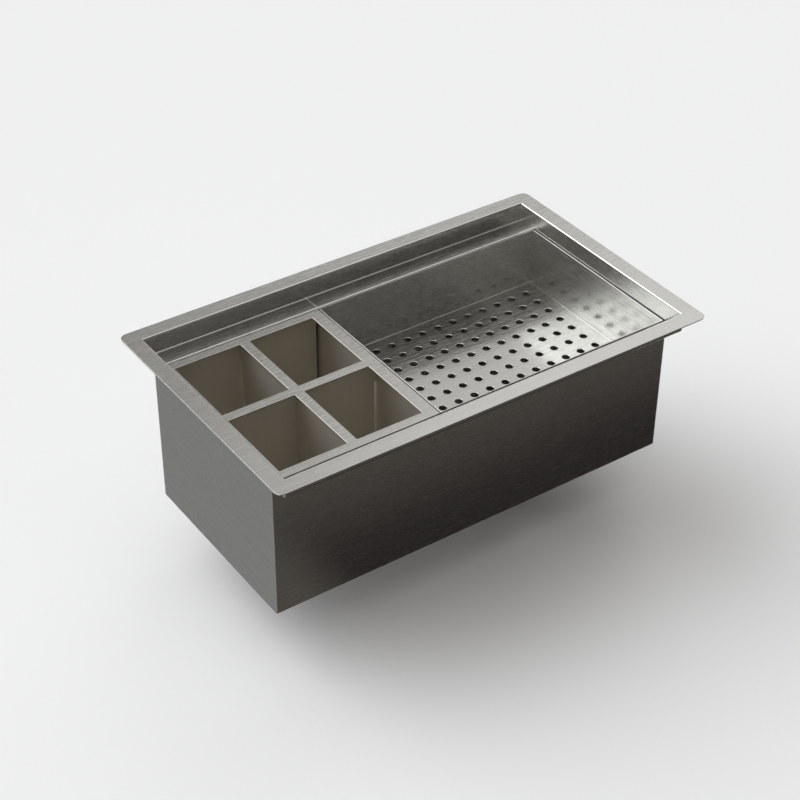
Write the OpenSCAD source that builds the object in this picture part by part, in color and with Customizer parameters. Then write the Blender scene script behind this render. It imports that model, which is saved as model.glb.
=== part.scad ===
// Wet trough: a two-tier stainless sink with a lift-out four-cell caddy and a perforated drain tray.
// Millimetres. X runs along the trough, Y towards its back edge, Z up.
// The origin is the centre of the worktop cut-out, on the underside of the rim.

/* [Sheet] */
// Thickness of the rim, ledge, wall and floor sheet
sheet = 1.5; // [1:0.1:2]
// Thickness of the sheet that the tray and the caddy are folded from
insert_sheet = 1.2; // [0.8:0.1:2]

/* [Rim] */
// Length of the rim, outer edge to outer edge
top_l = 610; // [540:1:800]
// Width of the rim, outer edge to outer edge
top_w = 362; // [320:1:460]
// Width of the rim, from its outer edge to the basin's face
rim_w = 22; // [16:0.5:35]
// Radius of the rim's outer corners in plan
rim_corner_r = 10; // [2:0.5:15]
// Radius of the roll from the rim down into the basin
rim_roll_r = 2.1; // [2.1:0.1:6]

/* [Upper tier] */
// Depth of the ledges below the top of the rim
ledge_depth = 25; // [16:0.5:40]
// Width of the front and back ledges
ledge_w = 28; // [18:0.5:40]
// Inner radius of the fold between an upper wall and its ledge
ledge_fold_r = 2; // [1.5:0.1:5]
// Outer radius of the roll from a ledge down into the trough
ledge_roll_r = 2.1; // [2.1:0.1:6]
// Width of the joint line between the left and right ledge strips
ledge_joint = 0.6; // [0.3:0.1:1.5]

/* [Trough] */
// Depth of the whole trough, from the top of the rim to the underside of the floor
trough_depth = 218; // [195:1:280]
// Inner radius of the fold between the floor and the front and back walls
floor_fold_r = 1.2; // [0.5:0.1:8]

/* [Insert clearances] */
// Gap between an insert and the front or back wall
insert_side_gap = 1.2; // [0.8:0.1:5]
// Gap between an insert and the end wall or the other insert
insert_end_gap = 1.5; // [0.8:0.1:3]
// Gap under a lift-out piece at rest, so that it lifts freely
seat_gap = 0.3; // [0.1:0.05:0.5]

/* [Drain tray] */
// Depth of the tray, from its top edge to the top of its floor
tray_depth = 81; // [50:1:110]
// Inner radius of the folds between the tray's floor and walls
tray_fold_r = 1.2; // [1:0.1:6]
// Diameter of the drain holes
hole_d = 9.6; // [5:0.1:12]
// Distance between neighbouring drain holes, in both directions
hole_pitch = 24.1; // [18:0.1:40]
// Least distance from a drain hole's centre to the tray's edge
hole_margin = 18; // [16:0.5:40]
// Diameter of the tray's rubber feet
tray_foot_d = 9; // [6:0.5:10]
// Height of the tray's rubber feet
tray_foot_h = 2.5; // [1.5:0.1:5]
// Distance of the tray's feet from its front and back edges
tray_foot_margin = 1; // [0.5:0.1:3]
// Width of the legs of the angle rails that carry the tray
rail_leg = 15; // [14:0.5:22]
// Distance of each end of a rail from the tray's end
rail_inset = 20; // [5:1:30]
// Distance of the tray's feet from the ends of the rails
tray_foot_inset = 20; // [10:1:60]

/* [Caddy] */
// Length of the caddy along the trough
caddy_l = 225; // [180:1:260]
// Thickness of the caddy's top plate
caddy_plate = 1.5; // [1:0.1:3]
// Width of the top plate's bars at the caddy's ends
caddy_end_bar = 16.25; // [8:0.25:24]
// Width of the top plate's front and back bars
caddy_side_bar = 12.5; // [8:0.25:20]
// Width of the top plate's middle bars
caddy_middle_bar = 13.2; // [8:0.1:20]
// Width of the open slits at the caddy's corners and at the ends of its dividers
corner_slit = 3; // [1:0.1:5]
// Height of the closed band above the slits at the dividers' ends
divider_tab_h = 30; // [10:1:60]
// Clearance each side of a divider in the slot of the divider it crosses
lap_clearance = 0.3; // [0.1:0.05:0.6]
// Diameter of the water holes in the caddy's base
base_hole_d = 8; // [4:0.5:12]
// Distance between the water holes in the caddy's base
base_hole_pitch = 30; // [20:1:60]
// Diameter of the caddy's rubber feet
caddy_foot_d = 16; // [8:0.5:24]
// Height of the caddy's rubber feet
caddy_foot_h = 4; // [2:0.5:8]
// Distance of the caddy's feet from its edges
caddy_foot_inset = 14; // [12:0.5:30]

/* [Drain] */
// Outer radius of the strainer's bowl
bowl_r = 43.5; // [38:0.5:48]
// Thickness of the strainer's metal
strainer_wall = 1.5; // [1:0.1:2.5]
// Thickness of the strainer's flange at its outer edge
strainer_lip = 0.5; // [0.3:0.1:0.9]
// Radius of the strainer's flange on the trough's floor
strainer_flange_r = 57; // [52:0.5:62]
// Depth of the strainer's bowl below the trough's floor
bowl_depth = 40; // [34:1:45]
// Outer radius of the threaded spout under the bowl
spout_r = 23; // [21.5:0.1:26]
// Length of the spout
spout_h = 16; // [12:0.5:22]
// Clearance between the strainer and the hole in the floor
floor_hole_clearance = 1; // [0.3:0.1:2]
// Thickness of the rubber gasket under the floor
gasket_h = 3; // [1.5:0.1:5]
// Thickness of the fibre washer under the gasket
washer_h = 1; // [0.5:0.1:2]
// Height of the ring nut that clamps the strainer
ring_nut_h = 10; // [7:0.5:14]
// Width of the rings round the bowl: gasket, washer and ring nut
ring_w = 11; // [8:0.5:14]
// Number of lugs round the ring nut
lug_count = 6; // [4:1:12]
// Width of the ring nut's lugs
lug_w = 10; // [6:0.5:14]
// Distance that the ring nut's lugs stand out
lug_out = 3.5; // [2:0.5:5]
// Outer radius of the outlet tube
outlet_r = 19.05; // [16:0.05:20]
// Wall of the outlet tube
outlet_wall = 1.2; // [0.8:0.1:2]
// Length of the outlet tube below its nut, which a trap slides over
outlet_l = 26; // [16:1:28]
// Step from the outlet tube out to the collar inside its nut
outlet_collar = 0.5; // [0.2:0.1:1]
// Thickness of the sealing washer between the spout and the outlet tube
seal_h = 2; // [1:0.1:4]
// Height of the slip nut that holds the outlet tube
slip_nut_h = 16; // [14:0.5:20]
// Thickness of the slip nut's wall
slip_nut_wall = 3; // [2:0.1:5]
// Number of finger ribs round the slip nut
rib_count = 12; // [6:1:20]
// Width of the slip nut's ribs
rib_w = 5; // [3:0.1:7]
// Distance that the slip nut's ribs stand out
rib_out = 2; // [1:0.1:4]
// Clearance round a threaded piece inside its nut
thread_clearance = 0.1; // [0.05:0.01:0.2]

/* [Basket] */
// Clearance between the basket and the strainer's bowl
basket_gap = 3; // [1:0.1:5]
// Thickness of the basket's metal
basket_wall = 1; // [0.6:0.1:2]
// Depth of the basket
basket_depth = 28; // [18:1:30]
// Diameter of the holes in the basket
basket_hole_d = 5; // [3:0.1:7]
// Number of holes in the ring in the basket's floor
floor_hole_count = 12; // [6:1:16]
// Number of holes in the ring in the basket's wall
wall_hole_count = 18; // [6:1:24]
// Height of the wall's ring of holes above the basket's floor
wall_hole_height = 9; // [6:0.5:12]
// Thickness of the basket's rubber seal
basket_seal_h = 3; // [2:0.1:5]
// Width of the seal's seat round the bowl's outlet
seal_land = 5; // [3:0.1:8]
// Radius of the basket's stem
stem_r = 3; // [2:0.1:5]
// Radius of the basket's knob
knob_r = 9; // [6:0.1:14]
// Height of the basket's knob
knob_h = 8; // [5:0.1:12]
// Radius of the knob's rounded edges
knob_round = 2; // [0.5:0.1:2.4]
// Distance that the knob stands above the basket's rim
knob_rise = 4; // [0:0.5:8]

/* [Hidden] */
$fn = 64;
// How far a cutting shape runs past the faces that it cuts
past = 1;

// Plan sizes
basin_l = top_l - 2 * rim_w;
basin_w = top_w - 2 * rim_w;
trough_w = basin_w - 2 * ledge_w;
insert_w = trough_w - 2 * insert_side_gap;
caddy_x0 = -basin_l / 2 + insert_end_gap;
caddy_x1 = caddy_x0 + caddy_l;
caddy_mid = (caddy_x0 + caddy_x1) / 2;
tray_x0 = caddy_x1 + insert_end_gap;
tray_x1 = basin_l / 2 - insert_end_gap;
tray_l = tray_x1 - tray_x0;
tray_mid = (tray_x0 + tray_x1) / 2;
joint_x = (caddy_x1 + tray_x0) / 2;

// Levels
rim_top = sheet;
ledge_top = rim_top - ledge_depth;
ledge_under = ledge_top - sheet;
floor_under = rim_top - trough_depth;
floor_top = floor_under + sheet;
insert_top = ledge_top;
tray_floor_top = insert_top - tray_depth;
tray_under = tray_floor_top - insert_sheet;
rail_top = tray_under - tray_foot_h - seat_gap;
caddy_under = floor_top + seat_gap + caddy_foot_h;
caddy_base_top = caddy_under + insert_sheet;
caddy_plate_under = insert_top - caddy_plate;
caddy_wall_h = caddy_plate_under - caddy_base_top;

// Tray and caddy patterns
tray_cols = floor((tray_l - 2 * hole_margin) / hole_pitch) + 1;
tray_rows = floor((insert_w - 2 * hole_margin) / hole_pitch) + 1;
window_l = (caddy_l - 2 * caddy_end_bar - caddy_middle_bar) / 2;
window_w = (insert_w - 2 * caddy_side_bar - caddy_middle_bar) / 2;
window_x = (window_l + caddy_middle_bar) / 2;
window_y = (window_w + caddy_middle_bar) / 2;
base_cols = floor(window_l / base_hole_pitch);
base_rows = floor(window_w / base_hole_pitch);
lap_slot = insert_sheet + 2 * lap_clearance;
tray_foot_x = tray_l / 2 - rail_inset - tray_foot_inset;
tray_foot_y = insert_w / 2 - tray_foot_d / 2 - tray_foot_margin;

// Drain levels and radii
strainer_top = floor_top + strainer_wall;
bowl_under = floor_top - bowl_depth;
bowl_floor = bowl_under + strainer_wall;
bowl_in_r = bowl_r - strainer_wall;
spout_in_r = spout_r - strainer_wall;
spout_under = bowl_under - spout_h;
ring_in_r = bowl_r + thread_clearance;
ring_out_r = bowl_r + ring_w;
gasket_under = floor_under - gasket_h;
washer_under = gasket_under - washer_h;
ring_nut_under = washer_under - ring_nut_h;
seal_under = spout_under - seal_h;
outlet_in_r = outlet_r - outlet_wall;
outlet_collar_r = outlet_r + outlet_collar;
outlet_flange_under = seal_under - outlet_wall;
slip_nut_in_r = spout_r + thread_clearance;
slip_nut_out_r = slip_nut_in_r + slip_nut_wall;
slip_nut_under = outlet_flange_under - slip_nut_wall;
outlet_under = slip_nut_under - outlet_l;

// Basket levels and radii
basket_r = bowl_in_r - basket_gap;
seal_r = spout_in_r + seal_land;
basket_seal_under = bowl_floor + seat_gap;
basket_under = basket_seal_under + basket_seal_h;
basket_floor = basket_under + basket_wall;
basket_rim = basket_under + basket_depth;
stem_top = basket_rim + knob_rise - knob_h;

steel = "#a9a8a3";
insert_steel = "#b3b1ab";
bright_steel = "#c9c9c6";
rubber = "#2b2b2b";

// Shapes used by several pieces

// A quarter ring in the first quadrant: a folded strip of sheet seen from its end.
module quarter_ring(outer_r, thickness) {
    intersection() {
        difference() {
            circle(r = outer_r);
            circle(r = outer_r - thickness);
        }
        square(outer_r);
    }
}

// A profile drawn as (y, z), carried along X from x0 to x1.
module along_x(x0, x1) {
    translate([x0, 0, 0]) rotate([90, 0, 90]) linear_extrude(x1 - x0) children();
}

// One side of a folded frame round a rectangle of l by w, cut at 45 degrees at both ends.
// The profile is drawn as (distance outwards, z) and is no wider than t.
// Sides are 0 front, 1 right, 2 back and 3 left.
module mitred_side(side, l, w, t, z0, z1) {
    run = side % 2 == 0 ? l : w;
    off = side % 2 == 0 ? w / 2 : l / 2;
    rotate([0, 0, 90 * side]) translate([0, -off, 0]) intersection() {
        along_x(-run / 2 - t, run / 2 + t) mirror([1, 0]) children();
        translate([0, 0, z0]) linear_extrude(z1 - z0)
            polygon([[-run / 2, 0], [-run / 2 - t, -t], [run / 2 + t, -t], [run / 2, 0]]);
    }
}

// A plate with its length along Y and its height along Z, with its two lower corners rounded.
module end_plate(x0, w, z0, z1, corner_r) {
    translate([x0, 0, 0]) rotate([90, 0, 90]) linear_extrude(sheet) {
        translate([-w / 2, z0 + corner_r]) square([w, z1 - z0 - corner_r]);
        translate([-w / 2 + corner_r, z0]) square([w - 2 * corner_r, z1 - z0]);
        for (s = [-1, 1]) translate([s * (w / 2 - corner_r), z0 + corner_r]) circle(r = corner_r);
    }
}

// A ring about the drain's axis.
module drain_ring(outer_r, inner_r, z0, z1) {
    translate([tray_mid, 0, z0]) difference() {
        cylinder(r = outer_r, h = z1 - z0);
        translate([0, 0, -past]) cylinder(r = inner_r, h = z1 - z0 + 2 * past);
    }
}

// Places its children at a grid of cols by rows, centred on the origin.
module grid(cols, rows, pitch) {
    for (i = [0 : cols - 1], j = [0 : rows - 1])
        translate([(i - (cols - 1) / 2) * pitch, (j - (rows - 1) / 2) * pitch, 0]) children();
}

// Rim and upper tier

module rim() {
    hole_l = basin_l + 2 * rim_roll_r;
    hole_w = basin_w + 2 * rim_roll_r;
    color(steel) {
        linear_extrude(sheet) difference() {
            union() {
                square([top_l - 2 * rim_corner_r, top_w], center = true);
                square([top_l, top_w - 2 * rim_corner_r], center = true);
                for (sx = [-1, 1], sy = [-1, 1])
                    translate([sx * (top_l / 2 - rim_corner_r), sy * (top_w / 2 - rim_corner_r)])
                        circle(r = rim_corner_r);
            }
            square([hole_l, hole_w], center = true);
        }
        for (side = [0 : 3])
            mitred_side(side, basin_l, basin_w, rim_roll_r, rim_top - rim_roll_r, rim_top)
                translate([rim_roll_r, rim_top - rim_roll_r]) mirror([1, 0]) quarter_ring(rim_roll_r, sheet);
    }
}

// The upper wall over a ledge stands on the ledge's fold.
module upper_wall_long(s) {
    fold_top = ledge_top + ledge_fold_r;
    color(steel) along_x(-basin_l / 2, basin_l / 2)
        translate([s > 0 ? basin_w / 2 : -basin_w / 2 - sheet, fold_top])
            square([sheet, rim_top - rim_roll_r - fold_top]);
}

// The upper wall over an end of the trough reaches down to the ledges' underside.
module upper_wall_end(s) {
    color(steel) end_plate(s > 0 ? basin_l / 2 : -basin_l / 2 - sheet, basin_w + 2 * sheet, ledge_under,
                           rim_top - rim_roll_r, ledge_fold_r + sheet);
}

// A ledge strip: the fold out of the upper wall, the flat ledge, and the roll into the trough.
module ledge(s, x0, x1) {
    flat_w = ledge_w - ledge_fold_r - ledge_roll_r;
    color(steel) along_x(x0, x1) mirror([s > 0 ? 0 : 1, 0]) {
        translate([trough_w / 2 + ledge_roll_r, ledge_under]) square([flat_w, sheet]);
        translate([basin_w / 2 - ledge_fold_r, ledge_top + ledge_fold_r])
            mirror([0, 1]) quarter_ring(ledge_fold_r + sheet, sheet);
        translate([trough_w / 2 + ledge_roll_r, ledge_top - ledge_roll_r])
            mirror([1, 0]) quarter_ring(ledge_roll_r, sheet);
    }
}

module ledge_left(s) {
    ledge(s, -basin_l / 2, joint_x - ledge_joint / 2);
}

module ledge_right(s) {
    ledge(s, joint_x + ledge_joint / 2, basin_l / 2);
}

// Trough

module trough_wall_long(s) {
    fold_top = floor_top + floor_fold_r;
    color(steel) along_x(-basin_l / 2, basin_l / 2)
        translate([s > 0 ? trough_w / 2 : -trough_w / 2 - sheet, fold_top])
            square([sheet, ledge_top - ledge_roll_r - fold_top]);
}

module trough_wall_end(s) {
    color(steel) end_plate(s > 0 ? basin_l / 2 : -basin_l / 2 - sheet, trough_w + 2 * sheet, floor_under,
                           ledge_under, floor_fold_r + sheet);
}

// The floor turns up at its front and back, and has the hole for the strainer.
module trough_floor() {
    color(steel) difference() {
        along_x(-basin_l / 2, basin_l / 2) {
            translate([-trough_w / 2 + floor_fold_r, floor_under])
                square([trough_w - 2 * floor_fold_r, sheet]);
            for (s = [0, 1]) mirror([s, 0]) translate([trough_w / 2 - floor_fold_r, floor_top + floor_fold_r])
                mirror([0, 1]) quarter_ring(floor_fold_r + sheet, sheet);
        }
        translate([tray_mid, 0, floor_under - past])
            cylinder(r = bowl_r + floor_hole_clearance, h = sheet + 2 * past);
    }
}

// An angle rail on a long wall, under the tray's feet.
module tray_rail(s) {
    color(steel) along_x(tray_x0 + rail_inset, tray_x1 - rail_inset) mirror([s > 0 ? 0 : 1, 0]) {
        translate([trough_w / 2 - rail_leg, rail_top - sheet]) square([rail_leg, sheet]);
        translate([trough_w / 2 - sheet, rail_top - rail_leg]) square([sheet, rail_leg]);
    }
}

// Drain

// The flanged bowl that drops through the floor, as one turned profile.
module strainer_bowl() {
    color(bright_steel) translate([tray_mid, 0, 0]) rotate_extrude() polygon([
        [spout_in_r, bowl_under], [bowl_r, bowl_under], [bowl_r, floor_top], [strainer_flange_r, floor_top],
        [strainer_flange_r, floor_top + strainer_lip], [bowl_r, strainer_top], [bowl_in_r, strainer_top],
        [bowl_in_r, bowl_floor], [spout_in_r, bowl_floor]
    ]);
}

// The threaded spout, brazed to the bowl's underside.
module strainer_spout() {
    color(bright_steel) drain_ring(spout_r, spout_in_r, spout_under, bowl_under);
}

module floor_gasket() {
    color(rubber) drain_ring(ring_out_r, ring_in_r, gasket_under, floor_under);
}

module fibre_washer() {
    color("#8a6a4a") drain_ring(ring_out_r, ring_in_r, washer_under, gasket_under);
}

// The ring nut has lugs for a spanner.
module ring_nut() {
    color(bright_steel) translate([tray_mid, 0, ring_nut_under]) difference() {
        union() {
            cylinder(r = ring_out_r - lug_out, h = ring_nut_h);
            for (i = [0 : lug_count - 1]) rotate([0, 0, i * 360 / lug_count])
                translate([0, -lug_w / 2, 0]) cube([ring_out_r, lug_w, ring_nut_h]);
        }
        translate([0, 0, -past]) cylinder(r = ring_in_r, h = ring_nut_h + 2 * past);
    }
}

module outlet_seal() {
    color(rubber) drain_ring(spout_r, outlet_in_r, seal_under, spout_under);
}

// The outlet tube hangs by its flange, which the slip nut pulls up against the seal.
// Below the nut its wall is free for a trap to slide over.
module outlet_tube() {
    color(bright_steel) translate([tray_mid, 0, 0]) difference() {
        union() {
            translate([0, 0, outlet_under]) cylinder(r = outlet_r, h = outlet_l);
            translate([0, 0, slip_nut_under]) cylinder(r = outlet_collar_r, h = slip_nut_wall);
            translate([0, 0, outlet_flange_under]) cylinder(r = spout_r, h = outlet_wall);
        }
        translate([0, 0, outlet_under - past])
            cylinder(r = outlet_in_r, h = seal_under - outlet_under + 2 * past);
    }
}

module slip_nut() {
    color(bright_steel) translate([tray_mid, 0, slip_nut_under]) difference() {
        union() {
            cylinder(r = slip_nut_out_r, h = slip_nut_h);
            for (i = [0 : rib_count - 1]) rotate([0, 0, i * 360 / rib_count])
                translate([0, -rib_w / 2, 0]) cube([slip_nut_out_r + rib_out, rib_w, slip_nut_h]);
        }
        translate([0, 0, slip_nut_wall]) cylinder(r = slip_nut_in_r, h = slip_nut_h);
        translate([0, 0, -past]) cylinder(r = outlet_collar_r + thread_clearance, h = slip_nut_h);
    }
}

// Basket

// A turned cup with a ring of holes in its floor and another in its wall.
module basket_cup() {
    color(bright_steel) translate([tray_mid, 0, 0]) difference() {
        translate([0, 0, basket_under]) cylinder(r = basket_r, h = basket_depth);
        translate([0, 0, basket_floor]) cylinder(r = basket_r - basket_wall, h = basket_depth);
        for (i = [0 : floor_hole_count - 1]) rotate([0, 0, i * 360 / floor_hole_count])
            translate([basket_r - basket_wall - basket_hole_d, 0, basket_under - past])
                cylinder(d = basket_hole_d, h = basket_wall + 2 * past);
        for (i = [0 : wall_hole_count - 1]) rotate([0, 0, i * 360 / wall_hole_count])
            translate([basket_r - basket_wall - past, 0, basket_floor + wall_hole_height])
                rotate([0, 90, 0]) cylinder(d = basket_hole_d, h = basket_wall + 2 * past);
    }
}

module basket_seal() {
    color(rubber) translate([tray_mid, 0, basket_seal_under]) cylinder(r = seal_r, h = basket_seal_h);
}

module basket_stem() {
    color(bright_steel) translate([tray_mid, 0, basket_floor])
        cylinder(r = stem_r, h = stem_top - basket_floor);
}

module basket_knob() {
    color(rubber) translate([tray_mid, 0, stem_top]) rotate_extrude() {
        square([knob_r - knob_round, knob_h]);
        translate([0, knob_round]) square([knob_r, knob_h - 2 * knob_round]);
        for (z = [knob_round, knob_h - knob_round]) translate([knob_r - knob_round, z]) circle(r = knob_round);
    }
}

// Drain tray

module tray_floor() {
    flat_l = tray_l - 2 * (insert_sheet + tray_fold_r);
    flat_w = insert_w - 2 * (insert_sheet + tray_fold_r);
    color(insert_steel) translate([tray_mid, 0, tray_under]) difference() {
        translate([-flat_l / 2, -flat_w / 2, 0]) cube([flat_l, flat_w, insert_sheet]);
        grid(tray_cols, tray_rows, hole_pitch)
            translate([0, 0, -past]) cylinder(d = hole_d, h = insert_sheet + 2 * past);
    }
}

// A wall of the tray, with the fold that joins it to the floor.
module tray_wall(side) {
    t = insert_sheet + tray_fold_r;
    color(insert_steel) translate([tray_mid, 0, 0])
        mitred_side(side, tray_l - 2 * t, insert_w - 2 * t, t, tray_under, insert_top) {
            translate([0, tray_floor_top + tray_fold_r]) mirror([0, 1]) quarter_ring(t, insert_sheet);
            translate([tray_fold_r, tray_floor_top + tray_fold_r])
                square([insert_sheet, tray_depth - tray_fold_r]);
        }
}

module tray_feet() {
    color(rubber) for (sx = [-1, 1], sy = [-1, 1])
        translate([tray_mid + sx * tray_foot_x, sy * tray_foot_y, tray_under - tray_foot_h])
            cylinder(d = tray_foot_d, h = tray_foot_h);
}

// Caddy

module caddy_plate_top() {
    color(insert_steel) translate([caddy_mid, 0, caddy_plate_under]) difference() {
        translate([-caddy_l / 2, -insert_w / 2, 0]) cube([caddy_l, insert_w, caddy_plate]);
        for (sx = [-1, 1], sy = [-1, 1])
            translate([sx * window_x - window_l / 2, sy * window_y - window_w / 2, -past])
                cube([window_l, window_w, caddy_plate + 2 * past]);
    }
}

// The front and back walls stop short of the end walls, which leaves an open slit at each corner.
module caddy_wall_long(s) {
    wall_l = caddy_l - 2 * (insert_sheet + corner_slit);
    y = s > 0 ? insert_w / 2 - insert_sheet : -insert_w / 2;
    color(insert_steel) translate([caddy_mid - wall_l / 2, y, caddy_base_top])
        cube([wall_l, insert_sheet, caddy_wall_h]);
}

module caddy_wall_end(s) {
    x = s > 0 ? caddy_x1 - insert_sheet : caddy_x0;
    color(insert_steel) translate([x, -insert_w / 2, caddy_base_top])
        cube([insert_sheet, insert_w, caddy_wall_h]);
}

// A divider's outline as (run, z): full length at the top, and short of the walls below its tabs.
module divider_outline(run) {
    translate([-run / 2 + corner_slit, 0]) square([run - 2 * corner_slit, caddy_wall_h]);
    translate([-run / 2, caddy_wall_h - divider_tab_h]) square([run, divider_tab_h]);
}

// The long divider is slotted from its top edge, and the cross divider drops into it.
module caddy_divider_long() {
    color(insert_steel) translate([caddy_mid, insert_sheet / 2, caddy_base_top]) rotate([90, 0, 0])
        linear_extrude(insert_sheet) difference() {
            divider_outline(caddy_l - 2 * insert_sheet);
            translate([-lap_slot / 2, caddy_wall_h / 2]) square([lap_slot, caddy_wall_h]);
        }
}

module caddy_divider_cross() {
    color(insert_steel) translate([caddy_mid - insert_sheet / 2, 0, caddy_base_top]) rotate([90, 0, 90])
        linear_extrude(insert_sheet) difference() {
            divider_outline(insert_w - 2 * insert_sheet);
            translate([-lap_slot / 2, -past]) square([lap_slot, caddy_wall_h / 2 + past]);
        }
}

module caddy_base() {
    color(insert_steel) translate([caddy_mid, 0, caddy_under]) difference() {
        translate([-caddy_l / 2, -insert_w / 2, 0]) cube([caddy_l, insert_w, insert_sheet]);
        for (sx = [-1, 1], sy = [-1, 1])
            translate([sx * window_x, sy * window_y, -past])
                grid(base_cols, base_rows, base_hole_pitch)
                    cylinder(d = base_hole_d, h = insert_sheet + 2 * past);
    }
}

module caddy_feet() {
    color(rubber) for (sx = [-1, 1], sy = [-1, 1])
        translate([caddy_mid + sx * (caddy_l / 2 - caddy_foot_inset), sy * (insert_w / 2 - caddy_foot_inset),
                   caddy_under - caddy_foot_h])
            cylinder(d = caddy_foot_d, h = caddy_foot_h);
}

rim();
upper_wall_long(-1);  // upper_wall_front
upper_wall_long(1);  // upper_wall_back
upper_wall_end(-1);  // upper_wall_left
upper_wall_end(1);  // upper_wall_right
ledge_left(-1);  // ledge_front_left
ledge_right(-1);  // ledge_front_right
ledge_left(1);  // ledge_back_left
ledge_right(1);  // ledge_back_right
trough_wall_long(-1);  // trough_wall_front
trough_wall_long(1);  // trough_wall_back
trough_wall_end(-1);  // trough_wall_left
trough_wall_end(1);  // trough_wall_right
trough_floor();
tray_rail(-1);  // tray_rail_front
tray_rail(1);  // tray_rail_back
strainer_bowl();
strainer_spout();
floor_gasket();
fibre_washer();
ring_nut();
outlet_seal();
outlet_tube();
slip_nut();
basket_cup();
basket_seal();
basket_stem();
basket_knob();
tray_floor();
tray_wall(0);  // tray_wall_front
tray_wall(2);  // tray_wall_back
tray_wall(3);  // tray_wall_left
tray_wall(1);  // tray_wall_right
tray_feet();
caddy_plate_top();
caddy_wall_long(-1);  // caddy_wall_front
caddy_wall_long(1);  // caddy_wall_back
caddy_wall_end(-1);  // caddy_wall_left
caddy_wall_end(1);  // caddy_wall_right
caddy_divider_long();
caddy_divider_cross();
caddy_base();
caddy_feet();
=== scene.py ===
# %% [markdown]
# # A wet trough in brushed stainless steel
#
# The real object is a two-tier kitchen trough, folded and welded from stainless sheet. A four-cell
# caddy and a perforated tray stand in it, and a basket strainer sits in its floor. This lesson dresses
# a finished construction model: every piece is made again as a surface with the small radii that sheet
# metal has at its folds and edges, and gets a finish worked out from how the metal was made.
#
# The construction model is loaded first. It gives most sizes and places below. Lengths are in metres.

import math

import bmesh
import bpy
import numpy as np
from mathutils import Matrix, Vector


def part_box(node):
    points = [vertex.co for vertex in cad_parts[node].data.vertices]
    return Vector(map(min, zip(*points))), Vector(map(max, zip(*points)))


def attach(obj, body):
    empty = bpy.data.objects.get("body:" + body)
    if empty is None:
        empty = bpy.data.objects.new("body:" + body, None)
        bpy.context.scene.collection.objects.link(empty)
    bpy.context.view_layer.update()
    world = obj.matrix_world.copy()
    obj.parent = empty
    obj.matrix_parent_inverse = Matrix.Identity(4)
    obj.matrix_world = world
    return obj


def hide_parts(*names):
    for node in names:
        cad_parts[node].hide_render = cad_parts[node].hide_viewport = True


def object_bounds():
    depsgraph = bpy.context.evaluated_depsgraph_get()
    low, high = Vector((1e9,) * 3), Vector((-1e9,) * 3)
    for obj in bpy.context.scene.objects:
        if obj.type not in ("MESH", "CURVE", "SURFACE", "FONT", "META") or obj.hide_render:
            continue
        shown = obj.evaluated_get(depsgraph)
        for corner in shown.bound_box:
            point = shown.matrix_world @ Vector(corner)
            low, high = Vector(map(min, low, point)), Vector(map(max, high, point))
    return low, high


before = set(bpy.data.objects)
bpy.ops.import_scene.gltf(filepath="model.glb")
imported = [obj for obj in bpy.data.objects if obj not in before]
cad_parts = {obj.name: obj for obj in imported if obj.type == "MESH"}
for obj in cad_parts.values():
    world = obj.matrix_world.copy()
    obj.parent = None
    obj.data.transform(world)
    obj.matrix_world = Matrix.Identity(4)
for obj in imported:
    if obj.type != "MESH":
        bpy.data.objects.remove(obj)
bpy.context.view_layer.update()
low = {node: np.array(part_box(node)[0]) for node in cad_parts}
high = {node: np.array(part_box(node)[1]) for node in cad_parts}

# %% [markdown]
# ## The camera
#
# A camera is a place, a direction and a lens. The direction is given as an azimuth from +Y towards +X,
# an angle below the horizon and a small roll, and the camera's matrix is built from the three unit
# vectors that follow from them. A long lens keeps the trough's parallel edges nearly parallel.

# %% Camera
CAMERA_AT = (-1.0756, -1.5081, 1.2595)
CAMERA_AZIMUTH = math.radians(34.94)
CAMERA_DOWN = math.radians(36.44)
CAMERA_ROLL = math.radians(0.46)
CAMERA_LENS = 83.94
SENSOR = 36.0


def camera_matrix(at, azimuth, down, roll):
    """Columns: right, up and backwards. Right and up are turned about the view direction by roll."""
    level = np.array([math.cos(azimuth), -math.sin(azimuth), 0])
    forward = np.array([math.sin(azimuth) * math.cos(down), math.cos(azimuth) * math.cos(down),
                        -math.sin(down)])
    upright = np.cross(level, forward)
    right = math.cos(roll) * level + math.sin(roll) * upright
    up = math.cos(roll) * upright - math.sin(roll) * level
    matrix = np.eye(4)
    matrix[:3, :4] = np.stack([right, up, -forward, np.array(at)], axis=1)
    return Matrix(matrix)


camera = bpy.data.objects.new("camera", bpy.data.cameras.new("camera"))
camera.data.lens = CAMERA_LENS
camera.data.sensor_width = SENSOR
camera.matrix_world = camera_matrix(CAMERA_AT, CAMERA_AZIMUTH, CAMERA_DOWN, CAMERA_ROLL)
bpy.context.scene.collection.objects.link(camera)
bpy.context.scene.camera = camera
print("camera at", CAMERA_AT, "lens", CAMERA_LENS)

# %% [markdown]
# ## Colours and nodes
#
# Colours are written as sRGB hex codes, as a paint shop or a web page gives them. Shaders work in linear
# light, so one function turns a code into linear values. Another adds a shader node: what it is given
# for a socket is either a value, which is set, or an output, which is linked.

# %% Colour and node helpers


def linear(code):
    """From sRGB to linear: c / 12.92 up to 0.04045, and ((c + 0.055) / 1.055) ** 2.4 above it."""
    c = np.array([int(code[i:i + 2], 16) for i in (1, 3, 5)]) / 255
    return (*np.where(c <= 0.04045, c / 12.92, ((c + 0.055) / 1.055) ** 2.4), 1.0)


def fill(tree, node, inputs):
    """Sets or links inputs of a node."""
    for name, value in inputs.items():
        if isinstance(value, bpy.types.NodeSocket):
            tree.links.new(value, node.inputs[name])
        else:
            node.inputs[name].default_value = value


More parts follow.
